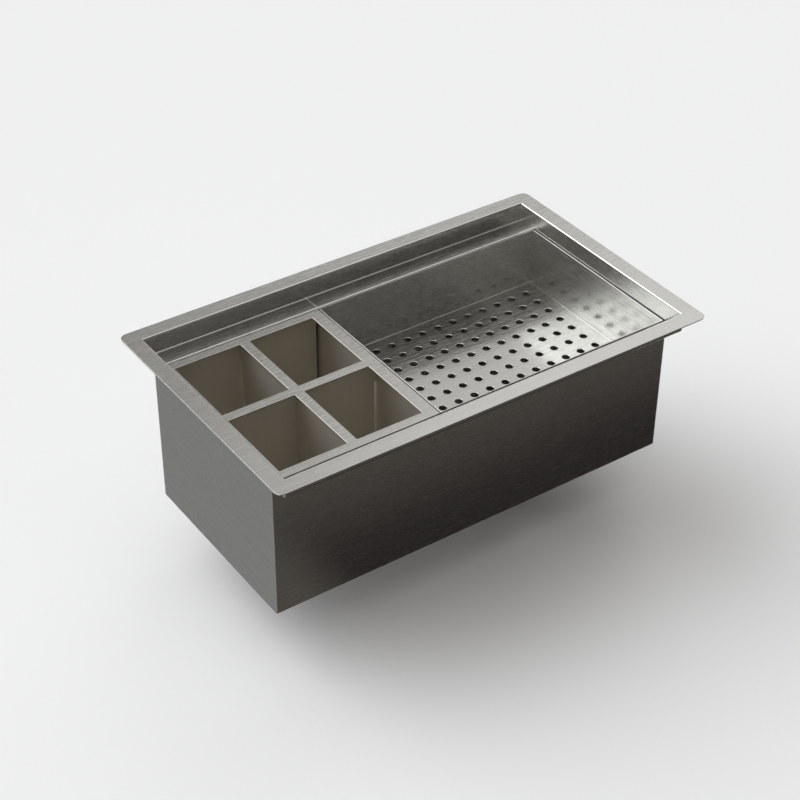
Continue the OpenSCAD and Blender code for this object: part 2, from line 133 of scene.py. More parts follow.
def add(tree, kind, inputs=None, **settings):
    """Adds a node of one kind, with its settings, and sets or links its inputs."""
    node = tree.nodes.new("ShaderNode" + kind)
    for key, value in settings.items():
        setattr(node, key, value)
    fill(tree, node, inputs or {})
    return node


def new_material(name, kind="BsdfPrincipled"):
    """An empty material, its node tree, and a shader of one kind linked to the output."""
    material = bpy.data.materials.new(name)
    material.use_nodes = True
    tree = material.node_tree
    tree.nodes.clear()
    shader = add(tree, kind)
    add(tree, "OutputMaterial", {"Surface": shader.outputs[0]})
    return material, tree, shader


print("middle grey, #808080, in linear light:", round(float(linear("#808080")[0]), 3))

# %% [markdown]
# ## Brushed stainless steel
#
# The sheet is chromium-nickel stainless steel with a satin finish: belts with grit of about 0.1 mm drag
# along it and leave fine parallel scratches. They do three things to the eye. Reflections blur more
# across the scratches than along them, which is the surface's anisotropy. The scratches tilt the surface
# a little, which is a bump, and the ridges between them are duller. And the belt's pressure varies, so
# the tone drifts in streaks some 6 mm wide. Sheet is never quite flat either: a shallow wave bends what
# it mirrors. The scratches are too fine to show at this distance, so they are drawn 0.2 mm wide.
#
# Noise drives all of it, stretched along the grain for scratches and streaks. It reads Object
# coordinates, so it doesn't depend on how a sheet was meshed, and the grain's direction is simply one
# axis of the object. The inside of the caddy's cells was never brushed. It keeps the dull, even, warmer
# grey of pickled steel, with faint upright marks from the mill and no anisotropy.

# %% Brushed steel
SCRATCH_WIDTH = 0.0002
SCRATCH_LENGTH = 0.02
SCRATCH_DEPTH = 0.000001
RIDGE_SPAN = (0.5, 0.62)
STREAK_WIDTH = 0.006
STREAK_LENGTH = 0.35
TONE_SPAN = (0.8, 1.2)
WAVE_LENGTH = 0.11
WAVE_HEIGHT = 0.0006
QUARTER_TURN = 0.25
AXES = {"x": (1, 0, 0), "y": (0, 1, 0), "z": (0, 0, 1)}


def stretched_noise(tree, axis, width, length, detail):
    """Noise whose grains are one width across and one length along an axis."""
    along = np.array(AXES[axis])
    scale = along / length + (1 - along) / width
    place = add(tree, "TexCoord").outputs["Object"]
    mapping = add(tree, "Mapping", {"Vector": place, "Scale": scale.tolist()})
    return add(tree, "TexNoise", {"Vector": mapping.outputs["Vector"], "Scale": 1.0, "Detail": detail,
                                  "Roughness": 0.55}).outputs["Fac"]


def even_noise(tree, size, detail):
    """Noise whose grains are one size in every direction."""
    place = add(tree, "TexCoord").outputs["Object"]
    return add(tree, "TexNoise", {"Vector": place, "Scale": 1 / size, "Detail": detail}).outputs["Fac"]


def two_tone(tree, value, span, dark, light):
    """A colour that goes from dark to light while a value goes through a span."""
    share = add(tree, "MapRange", {"Value": value, "From Min": span[0], "From Max": span[1]})
    return add(tree, "Mix", {0: share.outputs["Result"], 6: linear(dark), 7: linear(light)},
               data_type="RGBA").outputs[2]


def brushed_steel(name, axis, dark, light, roughness, dulling, blur=0.35):
    """Steel brushed along one axis. The tone follows the sum of scratches and streaks, and on the ridges
    dulling is added to the roughness. blur is the anisotropy, turned to lie across the grain."""
    material, tree, surface = new_material(name)
    scratches = stretched_noise(tree, axis, SCRATCH_WIDTH, SCRATCH_LENGTH, 2.0)
    streaks = stretched_noise(tree, axis, STREAK_WIDTH, STREAK_LENGTH, 3.0)
    both = add(tree, "Math", {0: scratches, 1: streaks}, operation="ADD").outputs["Value"]
    dull = add(tree, "MapRange", {"Value": scratches, "From Min": RIDGE_SPAN[0], "From Max": RIDGE_SPAN[1],
                                  "To Min": roughness, "To Max": roughness + dulling})
    waves = add(tree, "Bump", {"Height": even_noise(tree, WAVE_LENGTH, 1.0), "Distance": WAVE_HEIGHT,
                               "Strength": 1.0})
    bump = add(tree, "Bump", {"Height": scratches, "Distance": SCRATCH_DEPTH, "Strength": 1.0,
                              "Normal": waves.outputs["Normal"]})
    grain = add(tree, "CombineXYZ", dict(zip("XYZ", AXES[axis])))
    fill(tree, surface, {
        "Base Color": two_tone(tree, both, TONE_SPAN, dark, light),
        "Metallic": 1.0,
        "Roughness": dull.outputs["Result"],
        "Anisotropic": blur,
        "Anisotropic Rotation": QUARTER_TURN,
        "Normal": bump.outputs["Normal"],
        "Tangent": grain.outputs["Vector"],
    })
    return material


trough_steel = {axis: brushed_steel("satin_steel_along_" + axis, axis, "#c8c8c5", "#cdcdca",
                                    roughness=0.2, dulling=0.12) for axis in "xyz"}
insert_steel = {axis: brushed_steel("insert_steel_along_" + axis, axis, "#c0c0bd", "#c5c5c2",
                                    roughness=0.17, dulling=0.33) for axis in "xy"}
cell_steel = brushed_steel("dull_pickled_steel", "z", "#dbd6cc", "#e0dbd1", roughness=0.56, dulling=0.05,
                           blur=0.0)
steels = (*trough_steel.values(), *insert_steel.values(), cell_steel)
print("steel finishes:", [steel.name for steel in steels])

# %% [markdown]
# ## Turned steel, rubber and fibre
#
# The drain's bowl, nuts and outlet and the basket are polished on a lathe, so their faint marks run in
# rings about the drain's axis. A noise of the distance from that axis gives the rings. The seals, the
# feet and the basket's knob are moulded nitrile rubber: nearly black, with a matt skin from a
# spark-eroded mould. The washer above the ring nut is pressed vulcanised fibre, dry, red-brown and
# streaked. Rings 0.6 mm apart and a mould's grain of 0.5 mm are coarser than the real ones, which
# would be too fine to show.
#
# In each of these finishes one pattern sets the colour, the roughness and the bump together, because on
# the real surface it is the same mark that does all three.

# %% Turned steel, rubber and fibre
RING_SPACING = 0.0006
MOULD_GRAIN = 0.0005
MOULD_DEPTH = 0.00003
FIBRE_WIDTH = 0.0005
FIBRE_LENGTH = 0.004
FIBRE_DEPTH = 0.00005
PATTERN_SPAN = (0.3, 0.7)
PLAN = np.array((1, 1, 0))
drain_axis = (low["outlet_tube"] + high["outlet_tube"]) / 2 * PLAN


def marked(tree, surface, pattern, dark, light, roughness, depth, strength, **sockets):
    """Lets one pattern set the colour, the roughness between its two values, and a bump."""
    dull = add(tree, "MapRange", {"Value": pattern, "From Min": PATTERN_SPAN[0],
                                  "From Max": PATTERN_SPAN[1], "To Min": roughness[0],
                                  "To Max": roughness[1]})
    bump = add(tree, "Bump", {"Height": pattern, "Distance": depth, "Strength": strength})
    fill(tree, surface, {"Base Color": two_tone(tree, pattern, PATTERN_SPAN, dark, light),
                         "Roughness": dull.outputs["Result"], "Normal": bump.outputs["Normal"], **sockets})


def turned_steel(name, dark, light):
    """Polished steel with marks in rings: the noise reads only the distance from the axis and the
    height, which are the same all the way round."""
    material, tree, surface = new_material(name)
    place = add(tree, "TexCoord").outputs["Object"]
    offset = add(tree, "VectorMath", {0: place, 1: drain_axis.tolist()}, operation="SUBTRACT")
    parts = add(tree, "SeparateXYZ", {"Vector": offset.outputs["Vector"]})
    plan = add(tree, "CombineXYZ", {"X": parts.outputs["X"], "Y": parts.outputs["Y"]})
    radius = add(tree, "VectorMath", {0: plan.outputs["Vector"]}, operation="LENGTH").outputs["Value"]
    both = add(tree, "CombineXYZ", {"X": radius, "Y": parts.outputs["Z"]})
    rings = add(tree, "TexNoise", {"Vector": both.outputs["Vector"], "Scale": 1 / RING_SPACING,
                                   "Detail": 2.0}).outputs["Fac"]
    marked(tree, surface, rings, dark, light, roughness=(0.16, 0.23), depth=SCRATCH_DEPTH, strength=1.0,
           Metallic=1.0)
    return material


def moulded_rubber(name, dark, light):
    """Nitrile rubber with a mould's fine grain."""
    material, tree, surface = new_material(name)
    grain = even_noise(tree, MOULD_GRAIN, 3.0)
    marked(tree, surface, grain, dark, light, roughness=(0.62, 0.8), depth=MOULD_DEPTH, strength=0.6,
           IOR=1.52)
    return material


def pressed_fibre(name, dark, light):
    """Vulcanised fibre: short strands that cross in the plane of the sheet."""
    material, tree, surface = new_material(name)
    strands = stretched_noise(tree, "x", FIBRE_WIDTH, FIBRE_LENGTH, 4.0)
    crossed = stretched_noise(tree, "y", FIBRE_WIDTH, FIBRE_LENGTH, 4.0)
    both = add(tree, "Math", {0: strands, 1: crossed}, operation="MAXIMUM").outputs["Value"]
    marked(tree, surface, both, dark, light, roughness=(0.8, 0.92), depth=FIBRE_DEPTH, strength=0.5,
           IOR=1.5)
    return material


drain_steel = turned_steel("polished_turned_steel", "#cfcdc9", "#d9d8d5")
black_rubber = moulded_rubber("moulded_nitrile_rubber", "#1c1c1d", "#2a2a2b")
washer_fibre = pressed_fibre("pressed_vulcanised_fibre", "#6b4630", "#966a48")
print("other finishes:", [finish.name for finish in (drain_steel, black_rubber, washer_fibre)])

# %% [markdown]
# ## Outlines
#
# A folded sheet could be a box with a Bevel modifier, but a fold has an inner and an outer radius that
# differ by the sheet's thickness, and a dressed edge has another. So each section is written as its
# corners with a radius for each, and every corner becomes an arc.

# %% Outlines
FOLD_STEPS = 6
DRESSED = 0.0003
SAME_POINT = 1e-8


def rounded(corners, radii):
    """A closed outline whose corners are arcs. An arc meets both sides at radius * tan(turn / 2) from the
    corner, and its centre is on the corner's bisector, at radius / cos(turn / 2)."""
    p = np.array(corners, float)
    radius = np.broadcast_to(np.array(radii, float), len(p))[:, None]
    into = p - np.roll(p, 1, axis=0)
    away = np.roll(p, -1, axis=0) - p
    into /= np.linalg.norm(into, axis=1)[:, None]
    away /= np.linalg.norm(away, axis=1)[:, None]
    turn = np.arctan2(into[:, 0] * away[:, 1] - into[:, 1] * away[:, 0], (into * away).sum(axis=1))[:, None]
    bisector = (away - into) / np.linalg.norm(away - into, axis=1)[:, None]
    centre = p + bisector * radius / np.cos(turn / 2)
    spoke = p - into * radius * np.tan(np.abs(turn) / 2) - centre
    angle = turn * np.linspace(0, 1, FOLD_STEPS + 1)
    x = centre[:, :1] + spoke[:, :1] * np.cos(angle) - spoke[:, 1:] * np.sin(angle)
    y = centre[:, 1:] + spoke[:, :1] * np.sin(angle) + spoke[:, 1:] * np.cos(angle)
    points = np.stack([x.ravel(), y.ravel()], axis=1)
    moved = np.linalg.norm(points - np.roll(points, 1, axis=0), axis=1)
    return points[moved > SAME_POINT]


def section(*corners):
    """An outline whose corners are given as (across, height, radius)."""
    table = np.array(corners, float)
    return rounded(table[:, :2], table[:, 2])


def rectangle(x0, x1, y0, y1):
    """The corners of a rectangle, anticlockwise."""
    return [(x0, y0), (x1, y0), (x1, y1), (x0, y1)]


print("points round a dressed 1.5 mm strip:", len(rounded(rectangle(0, 0.02, 0, 0.0015), DRESSED)))

# %% [markdown]
# ## Sweeps
#
# An outline becomes a bar or a sheet when it is carried along a path. Here the path is a list of
# stations, and each station puts the outline's points at a base, plus their two coordinates along two
# directions. Near a dressed end the outline is drawn in a little, which rounds the end as well.

# %% Sweeps
END_STEPS = 3
ACROSS = {"x": ((0, 1, 0), (0, 0, 1)), "y": ((1, 0, 0), (0, 0, 1)), "z": ((1, 0, 0), (0, 1, 0))}


def sweep(outline, base, out, up, drawn_in=0.0):
    """Carries an outline of (a, b) points along stations: each goes to base + a * out + b * up, after it
    is drawn in along its own normal."""
    base = np.atleast_2d(np.array(base, float))
    after = np.roll(outline, -1, axis=0)
    tangent = after - np.roll(outline, 1, axis=0)
    normal = np.stack([tangent[:, 1], -tangent[:, 0]], axis=1) / np.linalg.norm(tangent, axis=1)[:, None]
    sense = np.sign((outline[:, 0] * after[:, 1] - outline[:, 1] * after[:, 0]).sum())
    amount = np.broadcast_to(drawn_in, len(base))[:, None, None]
    drawn = outline[None] - sense * amount * normal[None]
    out = np.broadcast_to(np.array(out, float), base.shape)[:, None]
    up = np.broadcast_to(np.array(up, float), base.shape)[:, None]
    return base[:, None] + drawn[..., :1] * out + drawn[..., 1:] * up


def end_round(radius):
    """How far the stations of a rounded end lie from it and how far the outline is drawn in at each:
    radius * (1 - cos a) and radius * (1 - sin a). A sharp end has one station."""
    a = np.radians(np.linspace(0, 90, END_STEPS + 1)) if radius else np.zeros(1)
    return radius * (1 - np.cos(a)), radius * (1 - np.sin(a))


def straight(axis, outline, start, end, start_radius=0.0, end_radius=0.0, side=1, at=(0, 0, 0)):
    """An outline carried straight along an axis. Its points are the two other coordinates, in order, and
    with side -1 the first of them is mirrored."""
    first, first_in = end_round(start_radius)
    last, last_in = end_round(end_radius)
    run = np.concatenate([start + first, end - last[::-1]])
    out, up = ACROSS[axis]
    base = np.array(at) + run[:, None] * np.array(AXES[axis])
    return sweep(outline, base, side * np.array(out), up, np.concatenate([first_in, last_in[::-1]]))


print("stations on a dressed run:", 2 * len(end_round(DRESSED)[0]))

# %% [markdown]
# ## From grids to pieces
#
# Every shape here is a grid of points: rows along its path, columns round its section. Faces join
# neighbours, and a cap closes each end of an open path. A piece may have several grids, whose shared
# edges are merged. Its normals are then turned outwards and weighted by area, so that a flat sheet next
# to a fine fold is shaded dead flat, which polished metal needs.

# %% Pieces
SHARP = math.radians(40)
MERGE = 2e-6


def grid_faces(rows, columns, first, closed_path, capped):
    """Faces of a grid whose columns close on themselves. first is its first vertex's number."""
    index = first + np.arange(rows * columns).reshape(rows, columns)
    down = np.vstack([index, index[:1]]) if closed_path else index
    ring = np.hstack([down, down[:, :1]])
    quads = np.stack([ring[:-1, :-1], ring[:-1, 1:], ring[1:, 1:], ring[1:, :-1]], axis=-1)
    faces = quads.reshape(-1, 4).tolist()
    if capped:
        faces += [index[0].tolist(), index[-1][::-1].tolist()]
    return faces


def piece(name, grids, body, slot, material, nodes, closed_path=False, uncapped=()):
    """One object from grids of points, which stands for nodes and rides on a body. The uncapped grids
    are closed by their neighbours."""
    vertices = np.concatenate([grid.reshape(-1, 3) for grid in [*grids, *uncapped]])
    faces = []
    first = 0
    for number, grid in enumerate([*grids, *uncapped]):
        rows, columns = grid.shape[:2]
        faces += grid_faces(rows, columns, first, closed_path, number < len(grids) and not closed_path)
        first += rows * columns
    mesh = bpy.data.meshes.new(name)
    mesh.from_pydata(vertices.tolist(), [], faces)
    work = bmesh.new()
    work.from_mesh(mesh)
    bmesh.ops.remove_doubles(work, verts=work.verts, dist=MERGE)
    bmesh.ops.recalc_face_normals(work, faces=work.faces)
    work.to_mesh(mesh)
    work.free()
    mesh.shade_smooth()
    mesh.set_sharp_from_angle(angle=SHARP)
    mesh.materials.append(material)
    made = bpy.data.objects.new(name, mesh)
    bpy.context.scene.collection.objects.link(made)
    normals = made.modifiers.new("weighted_normals", "WEIGHTED_NORMAL")
    normals.keep_sharp = True
    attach(made, body)
    if nodes:
        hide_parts(*nodes)
    return made


def trough_piece(node, grids, axis, **options):
    """A piece of the trough's own sheet, brushed along an axis."""
    return piece(node + "_sheet", grids, "trough", "trough_sheet", trough_steel[axis], [node], **options)


def insert_piece(node, grids, body, steel, **options):
    """A piece of the caddy's or the tray's sheet."""
    return piece(node + "_sheet", grids, body, "insert_sheet", steel, [node], **options)


print("merge distance in mm:", MERGE * 1000)

# %% [markdown]
# ## Rim
#
# The rim is one flat frame that overlaps the worktop, rolled down into the basin at its inner edge. Its
# outer corners are round and its inner corners are welded and dressed to about 1.2 mm. One section is
# carried round both outlines at once: points near the roll follow the inner one, the others the outer.

# %% Rim
basin = np.array([low["upper_wall_right"][0], low["upper_wall_back"][1]])
sheet = high["upper_wall_back"][1] - low["upper_wall_back"][1]
rim_top = high["rim"][2]
rim_half = high["rim"][:2]
rim_roll = rim_top - low["rim"][2]
WELD_RADIUS = 0.0012
RIM_CORNER = 0.010
CORNER_STEPS = 10
QUARTERS = np.array([(-1, -1), (1, -1), (1, 1), (-1, 1)])


def corner_path(half, radius):
    """Points and outward directions round a rectangle with round corners: the corner's centre plus
    radius * (cos a, sin a), with a quarter turn at each corner, from the one at the back right."""
    a = np.radians(np.arange(4)[:, None] * 90 + np.linspace(0, 90, CORNER_STEPS + 1)).ravel()
    out = np.stack([np.cos(a), np.sin(a)], axis=1)
    signs = np.repeat(np.roll(QUARTERS, -2, axis=0), CORNER_STEPS + 1, axis=0)
    return signs * (np.array(half) - radius) + radius * out, out


def rim_grid():
    """Stations round the rim, with each point of the section at its distance from the basin's face."""
    width = rim_half[0] - basin[0]
    outline = section((width, rim_top, DRESSED), (0, rim_top, rim_roll), (0, rim_top - rim_roll, 0),
                      (sheet, rim_top - rim_roll, 0), (sheet, rim_top - sheet, rim_roll - sheet),
                      (width, rim_top - sheet, DRESSED))
    inner, out = corner_path(basin, WELD_RADIUS)
    outer = corner_path(rim_half, RIM_CORNER)[0]
    follows_outer = (outline[:, 0] > width / 2)[None, :, None]
    start = np.where(follows_outer, (outer - width * out)[:, None], inner[:, None])
    plan = start + outline[None, :, :1] * out[:, None]
    return np.concatenate([plan, np.broadcast_to(outline[None, :, 1:], plan.shape[:2] + (1,))], axis=2)


trough_piece("rim", [rim_grid()], "x", closed_path=True)
print("rim half size:", rim_half.round(4), "sheet:", round(float(sheet), 4))

# %% [markdown]
# ## Upper tier
#
# Under the rim the upper walls drop 25 mm to a ledge at the front and back. A ledge is a folded strip:
# it turns out of the wall with an inner radius of 2 mm and rolls over into the trough. Where two strips
# meet there is an open joint line, and their ends are dressed. The upper end walls are flat plates. Each
# strip is drawn once, as the section at the back, and mirrored for the front.

# %% Upper walls and ledges
ledge_under = low["upper_wall_left"][2]
ledge_top = ledge_under + sheet
trough_half = low["trough_wall_back"][1]
ledge_fold = high["ledge_back_left"][2] - ledge_top
ledge_roll = ledge_top - low["ledge_back_left"][2]
wall_top = rim_top - rim_roll
LONG_SIDES = (("front", -1), ("back", 1))
ENDS = (("left", -1), ("right", 1))


def long_wall(y0, z0, z1, side):
    """A flat wall along the trough."""
    return straight("x", rounded(rectangle(y0, y0 + sheet, z0, z1), 0), -basin[0], basin[0], side=side)


def end_plate(side, half_width, z0, z1, corner):
    """A flat end wall with its lower corners rounded, and its outer face's edge dressed."""
    outline = rounded(rectangle(-half_width, half_width, z0, z1), [corner, corner, 0, 0])
    x0, x1 = sorted([side * basin[0], side * (basin[0] + sheet)])
    dressed = (0, DRESSED) if side > 0 else (DRESSED, 0)
    return straight("x", outline, x0, x1, *dressed)


ledge_section = section(
    (basin[1], ledge_top + ledge_fold, 0), (basin[1], ledge_top, ledge_fold),
    (trough_half, ledge_top, ledge_roll), (trough_half, ledge_top - ledge_roll, 0),
    (trough_half + sheet, ledge_top - ledge_roll, 0), (trough_half + sheet, ledge_under, ledge_roll - sheet),
    (basin[1] + sheet, ledge_under, ledge_fold + sheet), (basin[1] + sheet, ledge_top + ledge_fold, 0))

for word, side in LONG_SIDES:
    trough_piece("upper_wall_" + word, [long_wall(basin[1], ledge_top + ledge_fold, wall_top, side)], "x")
    for end, radii in (("_left", (0, DRESSED)), ("_right", (DRESSED, 0))):
        strip = "ledge_" + word + end
        trough_piece(strip, [straight("x", ledge_section, low[strip][0], high[strip][0], *radii, side)], "x")
for word, side in ENDS:
    trough_piece("upper_wall_" + word,
                 [end_plate(side, basin[1] + sheet, ledge_under, wall_top, ledge_fold + sheet)], "y")
print("ledge width in mm:", round(float(basin[1] - trough_half) * 1000, 2))

# %% [markdown]
# ## Corner welds
#
# An end plate and a long wall are welded along their corner, and the bead is dressed to a small hollow
# fillet that catches the light. A Bevel modifier can't round the corner between two separate objects,
# so each fillet is a strip of its own: flat on the two sides that touch the walls and hollow on the
# third. The construction model leaves these corners sharp, so this piece is in the scene alone.

# %% Corner welds
floor_top = low["trough_floor"][2] + sheet


def weld(corner, z0, z1):
    """An upright fillet in an inner corner, which is at (x, y): its plan is the corner and a hollow arc
    whose centre lies a radius inwards from both walls."""
    a = np.radians(np.linspace(0, 90, FOLD_STEPS + 1))[:, None]
    arc = np.hstack([np.cos(a), np.sin(a)]) * WELD_RADIUS - WELD_RADIUS
    outline = np.concatenate([np.zeros((1, 2)), arc[::-1]]) * np.sign(corner) + corner
    return straight("z", outline, z0, z1)


welds = [weld(quarter * basin, ledge_top, wall_top) for quarter in QUARTERS]
welds += [weld(quarter * np.array([basin[0], trough_half]), floor_top, ledge_top - ledge_roll)
          for quarter in QUARTERS]
piece("corner_welds", welds, "trough", "trough_sheet", trough_steel["z"], [])
print("corner welds:", len(welds))

# %% [markdown]
# ## Punched holes
#
# A punch draws the sheet down into a round edge where it enters, and leaves a nearly sharp one below.
# Those lips are what makes a row of holes look real, because each catches a thin crescent of light.
# Holes cut with a Boolean modifier have no lips, and leave slivers between them. Here a plate is
# divided into cells with one hole in each: a ring of points round the hole is joined to as many points
# round the cell, which gives even faces, and neighbouring cells share their edges.

# %% Holes and cells
HOLE_LIP = 0.00095
PUNCH_BURR = 0.0002
LIP_STEPS = 4


def round_hole(centre, radius, count):
    """A function from an offset to the points of a wider circle, centre + (radius + offset) * (cos a,
    sin a). There are four times count points, from the lower left, anticlockwise."""
    a = np.radians(225) + 2 * np.pi * np.arange(4 * count) / (4 * count)
    spoke = np.stack([np.cos(a), np.sin(a)], axis=1)
    return lambda offset: np.array(centre) + (radius + offset) * spoke


def window(centre, half, corner, count):
    """The same for a rectangle with round corners: each side's points begin and end at the middle of
    a corner's arc, and the straight stretch between them is one step."""
    steps = (count - 1) // 2
    a = np.radians(np.linspace(0, 90, 2 * steps + 1))
    turn = np.radians(180) + np.arange(4)[:, None] * np.radians(90) + a
    signs = QUARTERS[:, None]
    spoke = np.stack([np.cos(turn), np.sin(turn)], axis=2)
    core = np.array(half) - corner

    def points(offset):
        """Each corner's centre plus (corner + offset) * (cos a, sin a), for a quarter turn."""
        whole = np.array(centre) + signs * core + (corner + offset) * spoke
        return np.roll(whole.reshape(-1, 2), -steps, axis=0)
    return points


def cell_edge(x0, x1, y0, y1, count):
    """Points round a rectangle, count to a side, from its lower left corner, anticlockwise."""
    t = np.arange(count) / count
    low_x, high_x = np.full(count, x0), np.full(count, x1)
    low_y, high_y = np.full(count, y0), np.full(count, y1)
    x = np.concatenate([x0 + (x1 - x0) * t, high_x, x1 - (x1 - x0) * t, low_x])
    y = np.concatenate([low_y, y0 + (y1 - y0) * t, high_y, y1 - (y1 - y0) * t])
    return np.stack([x, y], axis=1)


def lip_rows(z0, z1, top, bottom):
    """Offsets and heights down a hole's wall, with its upper and lower edges rounded over: an edge of
    radius r passes r * (1 - cos a) outwards and r * (1 - sin a) from its face."""
    a = np.radians(np.linspace(90, 0, LIP_STEPS + 1))
    offsets = np.concatenate([top * (1 - np.cos(a)), bottom * (1 - np.cos(a[::-1]))])
    heights = np.concatenate([z1 - top * (1 - np.sin(a)), z0 + bottom * (1 - np.sin(a[::-1]))])
    return offsets, heights


def lift(points, z):
    """Plan points put at a height."""
    return np.concatenate([points, np.full((len(points), 1), z)], axis=1)


def punched_cell(edge, hole, z0, z1, lip):
    """Rows from the cell's edge on top, in to the hole, down its wall and back out underneath."""
    offsets, heights = lip_rows(z0, z1, lip, PUNCH_BURR)
    inside = [lift(hole(offset), z) for offset, z in zip(offsets, heights)]
    return np.stack([lift(edge, z1)] + inside + [lift(edge, z0)])


print("rows down a punched hole:", len(lip_rows(0, 0.001, HOLE_LIP, PUNCH_BURR)[0]))

# %% Punched plates


def spread(places, count):
    """Each interval between places cut into count equal steps, without the last place."""
    t = np.arange(count) / count
    places = np.array(places)
    return (places[:-1, None] + (places[1:] - places[:-1])[:, None] * t).ravel()


def plate_edge(xs, ys, count, z0, z1, radius):
    """A strip round a plate's outer edge, rounded by radius. Its points match the cells' points."""
    x, y = spread(xs, count), spread(ys, count)
    back_x, back_y = spread(xs[::-1], count), spread(ys[::-1], count)
    ring_x = np.concatenate([x, np.full(len(y), xs[-1]), back_x, np.full(len(y), xs[0])])
    ring_y = np.concatenate([np.full(len(x), ys[0]), y, np.full(len(x), ys[-1]), back_y])
    ring = np.stack([ring_x, ring_y], axis=1)
    out = np.stack([(ring[:, 0] >= xs[-1]) * 1.0 - (ring[:, 0] <= xs[0]),
                    (ring[:, 1] >= ys[-1]) * 1.0 - (ring[:, 1] <= ys[0])], axis=1)
    offsets, heights = lip_rows(z0, z1, radius, radius) if radius else (np.zeros(2), np.array([z1, z0]))
    return np.stack([lift(ring + (radius - offset) * out, z) for offset, z in zip(offsets, heights)])


def punched_plate(xs, ys, make_hole, z0, z1, lip, edge, count):
    """A plate cut into cells by xs and ys, with one hole in each. Its outer edge lies edge outside them
    and is rounded by as much."""
    xs, ys = np.array(xs, float), np.array(ys, float)
    cells = [punched_cell(cell_edge(xs[i], xs[i + 1], ys[j], ys[j + 1], count), make_hole(i, j), z0, z1, lip)
             for i in range(len(xs) - 1) for j in range(len(ys) - 1)]
    return cells + [plate_edge(xs, ys, count, z0, z1, edge)]


print("steps along a plate of two cells:", len(spread([0, 1, 2], 9)))

# %% [markdown]
# ## Trough
#
# The lower trough is a long folded floor with upright walls, closed by flat end plates. All of it is
# plain sheet, so its character comes from the brushed finish. The floor is drawn as two folded runs with
# a punched cell for the strainer between them, and a band of each fold runs on beside that cell. Two
# angle rails on the long walls carry the drain tray.

# %% Trough walls and floor
floor_under = low["trough_floor"][2]
floor_fold = high["trough_floor"][2] - floor_top
HOLE_CLEARANCE = 0.001
HOLE_CELL = 0.060
HOLE_STEPS = 24
NUT_OVERHANG = 0.011
FOLD_BAND = 0.004


def reach(node):
    """The outer radius of a node that is round about the drain's axis."""
    return (high[node][0] - low[node][0]) / 2


bowl_radius = reach("ring_nut") - NUT_OVERHANG
for word, side in LONG_SIDES:
    wall = long_wall(trough_half, floor_top + floor_fold, ledge_top - ledge_roll, side)
    trough_piece("trough_wall_" + word, [wall], "x")
for word, side in ENDS:
    trough_piece("trough_wall_" + word,
                 [end_plate(side, trough_half + sheet, floor_under, ledge_under, floor_fold + sheet)], "y")

outer_half, fold_top, outer_fold = trough_half + sheet, floor_top + floor_fold, floor_fold + sheet
whole_floor = section(
    (-outer_half, fold_top, 0), (-outer_half, floor_under, outer_fold),
    (outer_half, floor_under, outer_fold), (outer_half, fold_top, 0), (trough_half, fold_top, 0),
    (trough_half, floor_top, floor_fold), (-trough_half, floor_top, floor_fold), (-trough_half, fold_top, 0))
band_half = trough_half - FOLD_BAND
fold_band = section(
    (band_half, floor_under, 0), (outer_half, floor_under, outer_fold), (outer_half, fold_top, 0),
    (trough_half, fold_top, 0), (trough_half, floor_top, floor_fold), (band_half, floor_top, 0))
hole_left, hole_right = drain_axis[0] - HOLE_CELL, drain_axis[0] + HOLE_CELL
drain_hole = round_hole(drain_axis[:2], bowl_radius + HOLE_CLEARANCE, HOLE_STEPS)
runs = [straight("x", whole_floor, -basin[0], hole_left), straight("x", whole_floor, hole_right, basin[0])]
runs += [straight("x", fold_band, hole_left, hole_right, side=side) for side in (1, -1)]
trough_piece("trough_floor", runs, "x", uncapped=punched_plate(
    [hole_left, hole_right], [-band_half, band_half], lambda i, j: drain_hole, floor_under, floor_top,
    DRESSED, 0, HOLE_STEPS))
print("floor at", round(float(floor_top), 4), "bowl radius", round(float(bowl_radius), 4))

# %% Tray rails
rail_low, rail_high = low["tray_rail_back"], high["tray_rail_back"]
rail_section = section(
    (rail_low[1], rail_high[2] - sheet, DRESSED), (rail_high[1] - sheet, rail_high[2] - sheet, DRESSED),
    (rail_high[1] - sheet, rail_low[2], DRESSED), (rail_high[1], rail_low[2], DRESSED),
    (rail_high[1], rail_high[2], sheet), (rail_low[1], rail_high[2], DRESSED))
for word, side in LONG_SIDES:
    rail = straight("x", rail_section, rail_low[0], rail_high[0], DRESSED, DRESSED, side)
    trough_piece("tray_rail_" + word, [rail], "x")
print("rails:", len(LONG_SIDES), "of", round(float(rail_high[0] - rail_low[0]), 4), "m")

# %% [markdown]
# ## Drain tray
#
# The tray is one sheet, punched with 13 by 10 holes and folded up on four sides, with its corners cut
# at 45 degrees and welded. The holes are 9.6 mm wide, at a pitch of 24.1 mm. The floor is a plate of
# cells, and a wall is a section carried to its neighbour's mitre. The cells end where the folds begin,
# so both keep even faces.

# %% Tray floor
insert_sheet = high["tray_floor"][2] - low["tray_floor"][2]
tray_middle = (low["tray_wall_front"] + high["tray_wall_back"]) / 2
TRAY_HOLE = 0.0096
TRAY_PITCH = 0.0241
TRAY_COLUMNS = 13
TRAY_ROWS = 10
TRAY_HOLE_STEPS = 9


def hole_grid(count, middle, low_end, high_end):
    """Places of a row of holes, and the places halfway between them, with a cell's edge at each end."""
    holes = middle + (np.arange(count) - (count - 1) / 2) * TRAY_PITCH
    return holes, np.concatenate([[low_end], (holes[:-1] + holes[1:]) / 2, [high_end]])


